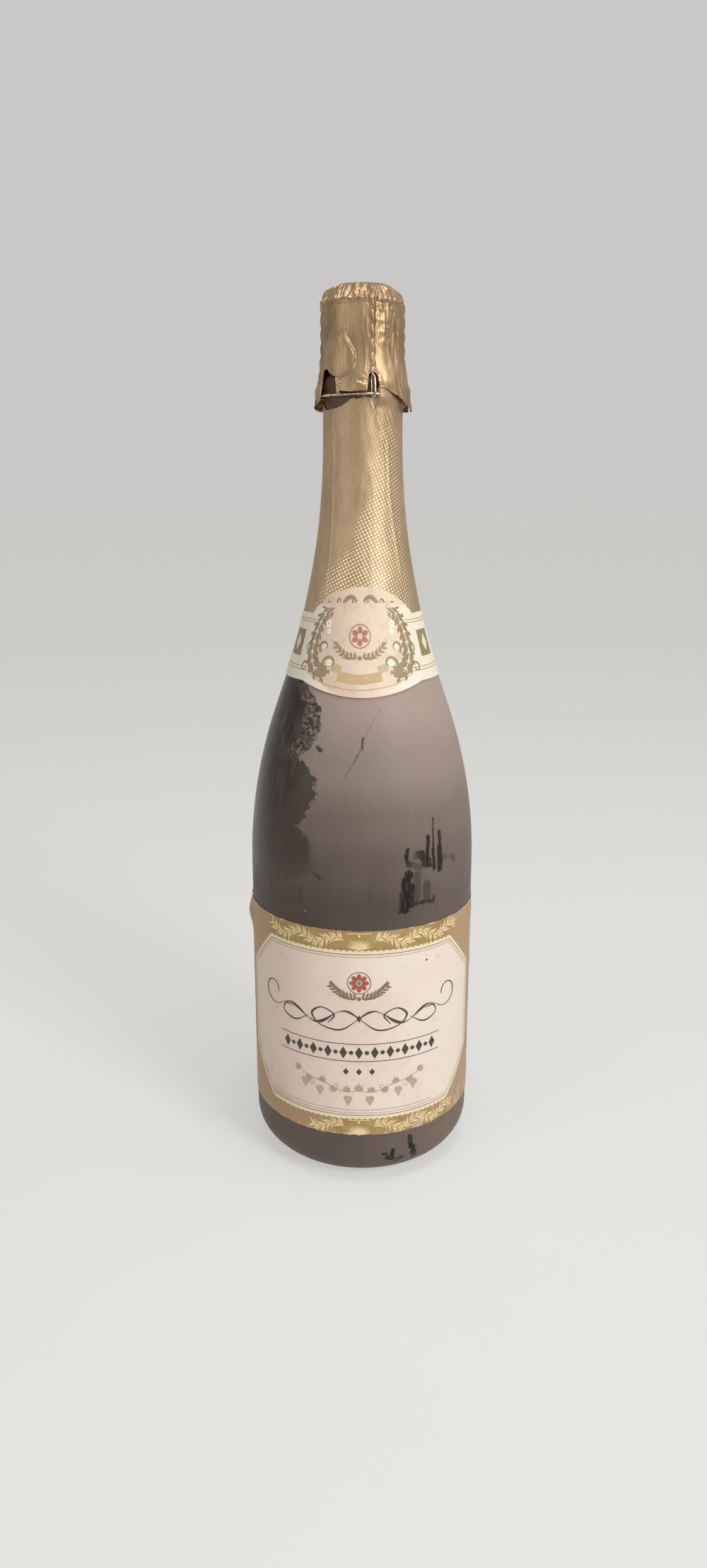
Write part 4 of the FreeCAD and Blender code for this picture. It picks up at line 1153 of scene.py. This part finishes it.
class Ornament:
    """Shapes of one ink, as points of (along, up, lift)."""

    def __init__(self):
        self.points = []
        self.faces = []

    def add(self, points, faces):
        start = len(self.points)
        self.points.extend(points)
        self.faces.extend([[start + i for i in face] for face in faces])

    def ribbon(self, path, width, taper=0.0):
        """A stroke along a path, thinner towards its ends by taper."""
        path = np.asarray(path, float)
        ahead = np.gradient(path, axis=0)
        ahead /= np.linalg.norm(ahead, axis=1)[:, None] + 1e-9
        side = np.column_stack([-ahead[:, 1], ahead[:, 0]])
        share = np.sin(np.linspace(0.0, math.pi, len(path)))
        half = 0.5 * np.asarray(width) * (1.0 - taper + taper * share)
        strips = max(1, math.ceil(float(np.max(half)) / STRIP_HALF))
        rows = [path + side * (half * share)[:, None] for share in np.linspace(1.0, -1.0, strips + 1)]
        count = len(path)
        faces = []
        for row in range(0, strips * count, count):
            next_row = row + count
            faces += [[row + i + 1, row + i, next_row + i, next_row + i + 1] for i in range(count - 1)]
        self.add([(u, v, 0.0) for u, v in np.vstack(rows)], faces)

    def leaf(self, u, v, angle, length, width, ridge):
        """A leaf with a raised midrib, pointed at both ends."""
        share = np.linspace(0.0, 1.0, 6)[1:-1]
        half = 0.5 * width * np.sin(math.pi * share ** 0.8)
        places = [(0.0, 0.0, 0.0)]
        for side, lift in ((1.0, 0.0), (0.0, ridge), (-1.0, 0.0)):
            places += [(s * length, side * h, lift) for s, h in zip(share, half)]
        places.append((length, 0.0, 0.0))
        tip = len(places) - 1
        faces = []
        for row in (1, 5):
            faces.append([row, 0, row + 4])
            faces += [[row + i + 1, row + i, row + 4 + i, row + 5 + i] for i in range(3)]
            faces.append([tip, row + 3, row + 7])
        self.add(turned(u, v, angle, places), faces)

    def leaf_pairs(self, path, picks, spread, length, width, ridge, heading=None, out=0.0):
        """Leaves on both sides of a path at some of its points, spread from a heading or from its own."""
        run = np.gradient(path, axis=0)
        for index in picks:
            ahead = run[index] / np.linalg.norm(run[index])
            turn = math.degrees(math.atan2(ahead[1], ahead[0])) if heading is None else heading
            for side in (1.0, -1.0):
                u, v = path[index] + side * out * np.array([-ahead[1], ahead[0]])
                self.leaf(u, v, turn + side * spread, length, width, ridge)

    def vine_leaf(self, u, v, heading, longer, width):
        """A leaf of five fingers."""
        for turn, length in ((-64.0, 1.9), (-32.0, 2.5), (0.0, 2.9), (32.0, 2.5), (64.0, 1.9)):
            self.leaf(u, v, heading + turn, length + longer, width, 0.03)

    def petal(self, u, v, angle, near, far, width, lift=0.05, sides=12):
        """A round-ended petal that points away from a flower's middle."""
        middle, half = 0.5 * (near + far), 0.5 * (far - near)
        angles = np.linspace(0.0, 2.0 * math.pi, sides, endpoint=False)
        places = [(middle + half * math.cos(t), 0.5 * width * math.sin(t), 0.0) for t in angles]
        places.append((middle, 0.0, lift))
        self.add(turned(u, v, angle, places), [[i, (i + 1) % sides, sides] for i in range(sides)])

    def disc(self, u, v, radius, lift=0.0, sides=14):
        self.petal(u, v, 0.0, -radius, radius, 2.0 * radius, lift, sides)

    def lozenge(self, u, v, half_wide, half_high):
        self.petal(u, v, 0.0, -half_wide, half_wide, 2.0 * half_high, 0.0, 4)

    def flower(self, u, v, petals, near, far, width):
        for index in range(petals):
            self.petal(u, v, 90.0 + 360.0 * index / petals, near, far, width)

    def rule(self, left, right, v, width):
        u = np.linspace(left, right, 64)
        self.ribbon(np.column_stack([u, np.full(64, v)]), width)

    def mirrored(self):
        """Adds the shapes again on the other side of the middle line."""
        points = [(-u, v, lift) for u, v, lift in self.points]
        self.add(points, [face[::-1] for face in self.faces])

    def make(self, name, wrap, finish, slot, lift):
        """Wraps the shapes on the bottle as one piece."""
        mesh = bpy.data.meshes.new(name)
        shape = np.array(self.points)
        mesh.from_pydata((wrap(shape[:, 0], shape[:, 1], shape[:, 2] + lift) * MM).tolist(), [], self.faces)
        piece = bpy.data.objects.new(name, mesh)
        bpy.context.collection.objects.link(piece)
        thickened(piece, INK_WALL, SMOOTH)
        return finished(piece, "bottle", finish, slot)


def curl(u, v, start_radius, end_radius, start, end, count):
    """A spiral path about a point, angles in degrees."""
    angle = np.radians(np.linspace(start, end, count))
    radius = np.linspace(start_radius, end_radius, count)
    return np.column_stack([u + radius * np.cos(angle), v + radius * np.sin(angle)])


INK_GAP = 0.06


def on_label(u, v, lift):
    """Points on the front label, from how far along it, how high and how proud they lie."""
    azimuth = LABEL_TURN + np.degrees(u / LABEL_RADIUS)
    return placed(azimuth, LABEL_RADIUS + INK_GAP + lift, v)


collar_heights, collar_radii = outside("collar_label")


def on_collar(u, v, lift):
    """The same on the collar label."""
    azimuth = COLLAR_TURN + np.degrees(u / COLLAR_RADIUS)
    return placed(azimuth, np.interp(v, collar_heights, collar_radii) + lift, v)


GOLD_LEAF = ink("embossed_gold", (0.80, 0.62, 0.34), (0.50, 0.36, 0.15), 0.25)
OLIVE = ink("olive_ink", (0.215, 0.165, 0.085), (0.62, 0.50, 0.38), 0.3)
DARK = ink("dark_ink", (0.055, 0.045, 0.035), (0.50, 0.42, 0.35), 0.2)
RED = ink("red_ink", (0.40, 0.085, 0.06), (0.62, 0.36, 0.28), 0.3)
FAINT = ink("faint_olive_ink", (0.40, 0.32, 0.22), (0.72, 0.60, 0.50), 0.35)
BROWN = ink("collar_brown_ink", (0.285, 0.205, 0.115), (0.56, 0.42, 0.30), 0.4)
BROWN_LIGHT = ink("collar_ochre_ink", (0.50, 0.36, 0.19), (0.72, 0.56, 0.42), 0.35)
PALE = ink("collar_white_ink", (0.82, 0.77, 0.63), (0.70, 0.58, 0.45), 0.2)
ROSE = ink("collar_rose_ink", (0.40, 0.16, 0.12), (0.66, 0.45, 0.36), 0.4)


def leaf_scroll(ornament, start, end, middle, rise):
    """A waving stem with narrow leaves on both sides, along a band."""
    ahead = 1.0 if end > start else -1.0
    pitch = 2.0 * math.pi / 15.0
    stem = np.linspace(start, end, 80)
    ornament.ribbon(np.column_stack([stem, middle + rise * np.sin(ahead * (stem - start) * pitch)]), 0.3)
    for index, u in enumerate(np.arange(start + 0.6 * ahead, end, 0.78 * ahead)):
        phase = ahead * (u - start) * pitch
        v = middle + rise * math.sin(phase)
        slope = math.degrees(math.atan(rise * pitch * math.cos(phase)))
        for side in (1.0, -1.0):
            room = 3.7 - side * (v - middle)
            length = min(3.9, max(1.3, room * 1.2)) * (1.0, 0.72, 0.9)[index % 3]
            turn = slope + side * (40.0 + 11.0 * (index % 3))
            ornament.leaf(u, v, turn if ahead > 0 else 180.0 - turn, length, 0.52, 0.07)


band_leaves = Ornament()
for middle, left in ((102.4, -38.0), (25.0, -19.0)):
    leaf_scroll(band_leaves, 5.6, 42.0, middle, 1.6)
    leaf_scroll(band_leaves, -5.6, left, middle, 1.6)
    foot = middle - 3.3
    for angle in range(12, 170, 13):
        band_leaves.leaf(0.0, foot, angle, 4.4 if 60 < angle < 120 else 5.2, 0.55, 0.08)
    band_leaves.disc(0.0, foot + 0.3, 0.7, 0.12)
    band_leaves.ribbon([(u, middle + 2.9) for u in (-4.4, -2.0, 2.0, 4.4)], 0.3)
    band_leaves.disc(0.0, middle + 2.0, 0.5, 0.1)
band_leaves.make("band_leaves", on_label, GOLD_LEAF, "label_paper", 0.04)

# A plain rosette over two leaf sprigs
rosette = Ornament()
rosette.flower(0.0, 85.6, 8, 1.0, 3.75, 1.75)
rosette.make("label_rosette", on_label, RED, "label_paper", 0.03)
sprigs = Ornament()
stem = smooth_path([(0.8, 79.2), (4.2, 79.8), (7.2, 81.4), (9.8, 83.8)], 30)
sprigs.ribbon(stem, 0.4, 0.4)
sprigs.leaf_pairs(stem, range(1, 30, 4), 38.0, 2.6, 1.0, 0.05, heading=30.0)
sprigs.leaf(*stem[-1], 44.0, 2.4, 1.0, 0.05)
sprigs.mirrored()
sprigs.disc(0.0, 79.2, 0.8)
sprigs.ribbon(curl(0.0, 85.6, 4.35, 4.35, 0, 360, 48), 0.34)
sprigs.disc(0.0, 85.6, 0.75, 0.05)
sprigs.make("label_sprigs", on_label, OLIVE, "label_paper", 0.03)

# A pen flourish, and below it a rule of lozenges and beads
flourish = Ornament()
t = np.linspace(0.0, 1.0, 160)
swing = np.column_stack([34.0 * t, 71.0 + 3.1 * np.sin(t * 3.0 * math.pi) * (1.0 - 0.25 * t)])
flourish.ribbon(swing, 0.75 + 0.5 * np.sin(t * 6.0 * math.pi), 0.5)
inner = [(0.0, 71.0), (7.0, 66.2), (15.0, 67.4), (18.5, 71.5), (14.5, 74.6), (9.5, 72.2), (12.0, 68.4)]
outer = [(20.0, 70.2), (26.0, 67.0), (31.5, 69.0), (30.5, 72.4), (26.4, 72.2)]
for path, thin, swell, last in (
    (curl(37.25, 76.04, 6.0, 2.4, -123, 190, 70), 0.42, 0.26, 5),
    (smooth_path(inner, 80), 0.45, 0.4, 9),
    (smooth_path(outer, 60), 0.4, 0.35, 6),
):
    flourish.ribbon(path, thin + swell * np.sin(np.linspace(0, last, len(path))) ** 2, 0.5)
flourish.mirrored()
flourish.lozenge(0.0, 71.0, 0.9, 1.5)
for u in range(-30, 31, 6):
    flourish.lozenge(u, 56.8, 1.5, 2.5)
    if u < 30:
        flourish.disc(u + 3.0, 56.8, 0.85)
for v in (60.4, 53.2):
    flourish.rule(-33.5, 33.5, v, 0.28)
for u in (-5.0, 0.0, 5.0):
    flourish.lozenge(u, 48.8, 1.1, 1.4)
flourish.disc(26.8, 91.9, 0.42)
flourish.make("label_flourish", on_label, DARK, "label_paper", 0.03)

# A faint vine: a stem with five-fingered leaves, tendrils and bunches of grapes
vine = Ornament()
stem = smooth_path([(0.0, 40.6), (6.0, 40.2), (12.0, 42.6), (18.0, 44.0), (24.5, 46.6)], 60)
vine.ribbon(stem, 0.3, 0.3)
for index, heading in ((12, 100.0), (24, -70.0), (36, 110.0), (48, -60.0), (58, 40.0)):
    vine.vine_leaf(*stem[index], heading, 0.0, 1.0)
for u, v in ((4.2, 38.0), (15.4, 41.0), (21.6, 43.0)):
    for row, count in enumerate((3, 4, 3, 2, 1)):
        for berry in range(count):
            vine.disc(u + (berry - (count - 1) / 2.0) * 0.92, v - row * 0.8, 0.42, 0.03, 10)
for index, side in ((18, 1.0), (42, -1.0)):
    u, v = stem[index]
    vine.ribbon(curl(u + 1.2, v + side * 1.6, 1.4, 0.3, -90.0 * side, 300.0 * side, 26), 0.22)
vine.mirrored()
vine.vine_leaf(0.0, 40.8, 90.0, 0.3, 1.1)
vine.rule(-30.0, 30.0, 32.4, 0.22)
vine.make("label_vine", on_label, FAINT, "label_paper", 0.02)

# Collar: a cartouche of leafy scrolls, a rosette over sprigs, and a bare ribbon
cartouche = Ornament()
spine = smooth_path([
    (11.4, 222.0), (15.6, 219.6), (18.4, 214.6), (19.6, 208.8), (19.2, 203.2), (16.2, 199.2), (11.8, 198.0),
], 70)
broad = np.interp(np.linspace(0, 1, 70), [0, 0.2, 0.5, 0.75, 0.92, 1], [1.2, 3.2, 4.2, 4.8, 3.4, 1.6])
cartouche.ribbon(spine, broad)
cartouche.leaf_pairs(spine, range(4, 70, 6), 42.0, 2.5, 1.3, 0.03, out=1.5)
for place, radii, angles, widths, count in (
    ((21.8, 206.6), (1.8, 0.5), (150, -200), (0.8, 0.4), 30),
    ((22.2, 199.8), (2.0, 0.5), (130, -210), (0.9, 0.4), 30),
    ((11.2, 202.0), (3.2, 0.7), (-100, 320), (1.3, 0.5), 44),
    ((14.2, 207.6), (2.3, 0.5), (-60, 300), (1.0, 0.4), 36),
    ((9.6, 223.6), (1.3, 0.35), (-90, 230), (1.0, 0.45), 26),
    ((2.6, 223.6), (1.2, 0.3), (120, -160), (0.9, 0.45), 24),
):
    cartouche.ribbon(curl(*place, *radii, *angles, count), np.linspace(*widths, count))
crest = smooth_path([(1.4, 223.6), (3.6, 225.2), (6.0, 224.6), (7.8, 222.8), (9.8, 222.4)], 40)
cartouche.ribbon(crest, 1.6, 0.5)
stem = smooth_path([(1.0, 204.0), (3.8, 204.2), (6.6, 205.8), (9.0, 208.2)], 24)
cartouche.ribbon(stem, 0.45, 0.4)
cartouche.leaf_pairs(stem, range(1, 24, 4), 40.0, 2.3, 1.0, 0.04, heading=32.0)
cartouche.leaf(*stem[-1], 46.0, 2.2, 1.0, 0.04)
cartouche.mirrored()
cartouche.disc(0.0, 204.0, 0.8)
cartouche.make("collar_scrolls", on_collar, BROWN, "collar_paper", 0.03)

ribbon = Ornament()
ribbon.ribbon(smooth_path([(-7.6, 197.7), (0.0, 196.7), (7.6, 197.7)], 30), 3.4)
for side in (-1.0, 1.0):
    tail = [(side * 6.4, 199.9), (side * 8.2, 200.3), (side * 9.8, 200.8)]
    ribbon.ribbon(smooth_path(tail, 10), 2.8)
    line = [(side * 18.6, 197.6), (side * 12.6, 195.0), (side * 5.0, 193.4), (0.0, 193.0)]
    ribbon.ribbon(smooth_path(line, 44), 0.34)
ribbon.make("collar_ribbon", on_collar, BROWN_LIGHT, "collar_paper", 0.04)

flowers = Ornament()
for u, v, size in ((13.6, 215.6, 1.5), (13.0, 213.0, 1.1), (14.2, 207.6, 1.0), (11.2, 202.0, 1.3)):
    flowers.flower(u, v, 5, 0.2 * size, size, 0.8 * size)
flowers.ribbon(spine[6:60], 0.34, 0.6)
flowers.leaf_pairs(spine, range(12, 58, 7), 38.0, 1.9, 0.34, 0.02)
flowers.mirrored()
flowers.make("collar_flowers", on_collar, PALE, "collar_paper", 0.07)

heart = Ornament()
heart.flower(0.0, 211.6, 6, 0.9, 3.5, 2.0)
heart.ribbon(curl(0.0, 211.6, 4.1, 4.1, 0, 360, 44), 0.45)
heart.make("collar_rosette", on_collar, ROSE, "collar_paper", 0.03)

# Floor, light and camera, in metres. A seen floor and sky have one flat tone, so that no horizon shows
FLOOR_SIZE = 40.0
FLOOR_SEEN = 0.6
FLOOR_TONE = (0.80, 0.79, 0.77, 1.0)
FLOOR_MEAN = 0.73
SKY = 0.36
VIEW_LENS = 24.357
VIEW_PLACE = (0, -404.4 * MM, 260.4 * MM)
VIEW_DOWN = 15.24
VIEW_TURN = 0.477

floor = primitive("floor", bpy.ops.mesh.primitive_plane_add, size=FLOOR_SIZE)
floor_finish = Finish("pale_floor")
floor_finish.set(
    color=floor_finish.blend(floor_finish.noise(60.0, 3.0), (0.72, 0.71, 0.69), (0.75, 0.74, 0.72)),
    roughness=0.9,
    specular=0.1,
)
plain = Field(floor_finish, floor_finish.shader.outputs[0])
glow = floor_finish.field("Emission", {"Color": FLOOR_TONE})
mixed = floor_finish.field("MixShader", {0: floor_finish.seen_rays() * FLOOR_SEEN, 1: plain, 2: glow})
floor_finish.put(floor_finish.nodes["Material Output"].inputs["Surface"], mixed)
floor.data.materials.append(floor_finish.material)

world = bpy.data.worlds.new("studio")
bpy.context.scene.world = world
sky = Tree(world)
floor_level = FLOOR_SEEN * FLOOR_TONE[0] + (1.0 - FLOOR_SEEN) * FLOOR_MEAN * SKY
strength = sky.field("MapRange", {"Value": sky.seen_rays(), "To Min": SKY, "To Max": floor_level})
background = sky.nodes["Background"].inputs
sky.put(background["Color"], (1.0, 0.99, 0.97, 1.0))
sky.put(background["Strength"], strength)


def softbox(name, place, target, size, power):
    """A rectangular lamp that looks at a target."""
    light = bpy.data.lights.new(name, 'AREA')
    light.shape = 'RECTANGLE'
    light.size, light.size_y = size
    light.energy = power
    lamp = bpy.data.objects.new(name, light)
    bpy.context.collection.objects.link(lamp)
    lamp.location = place
    lamp.rotation_euler = (Vector(target) - Vector(place)).to_track_quat('-Z', 'Y').to_euler()


softbox("key_softbox", (0.75, -0.85, 0.85), (0, 0, 0.2), (0.4, 0.6), 11.0)
softbox("fill_softbox", (-0.9, -0.7, 0.6), (0, 0, 0.2), (0.5, 0.7), 1.5)
softbox("top_softbox", (0.1, -0.15, 1.1), (0, 0, 0.25), (0.4, 0.3), 3.6)

camera = bpy.data.cameras.new("camera")
camera.lens = VIEW_LENS
camera.sensor_width = 36.0
view = bpy.data.objects.new("camera", camera)
bpy.context.collection.objects.link(view)
view.location = VIEW_PLACE
view.rotation_euler = (math.radians(90.0 - VIEW_DOWN), 0, math.radians(VIEW_TURN))
bpy.context.scene.camera = view
bpy.context.scene.view_settings.view_transform = 'Standard'
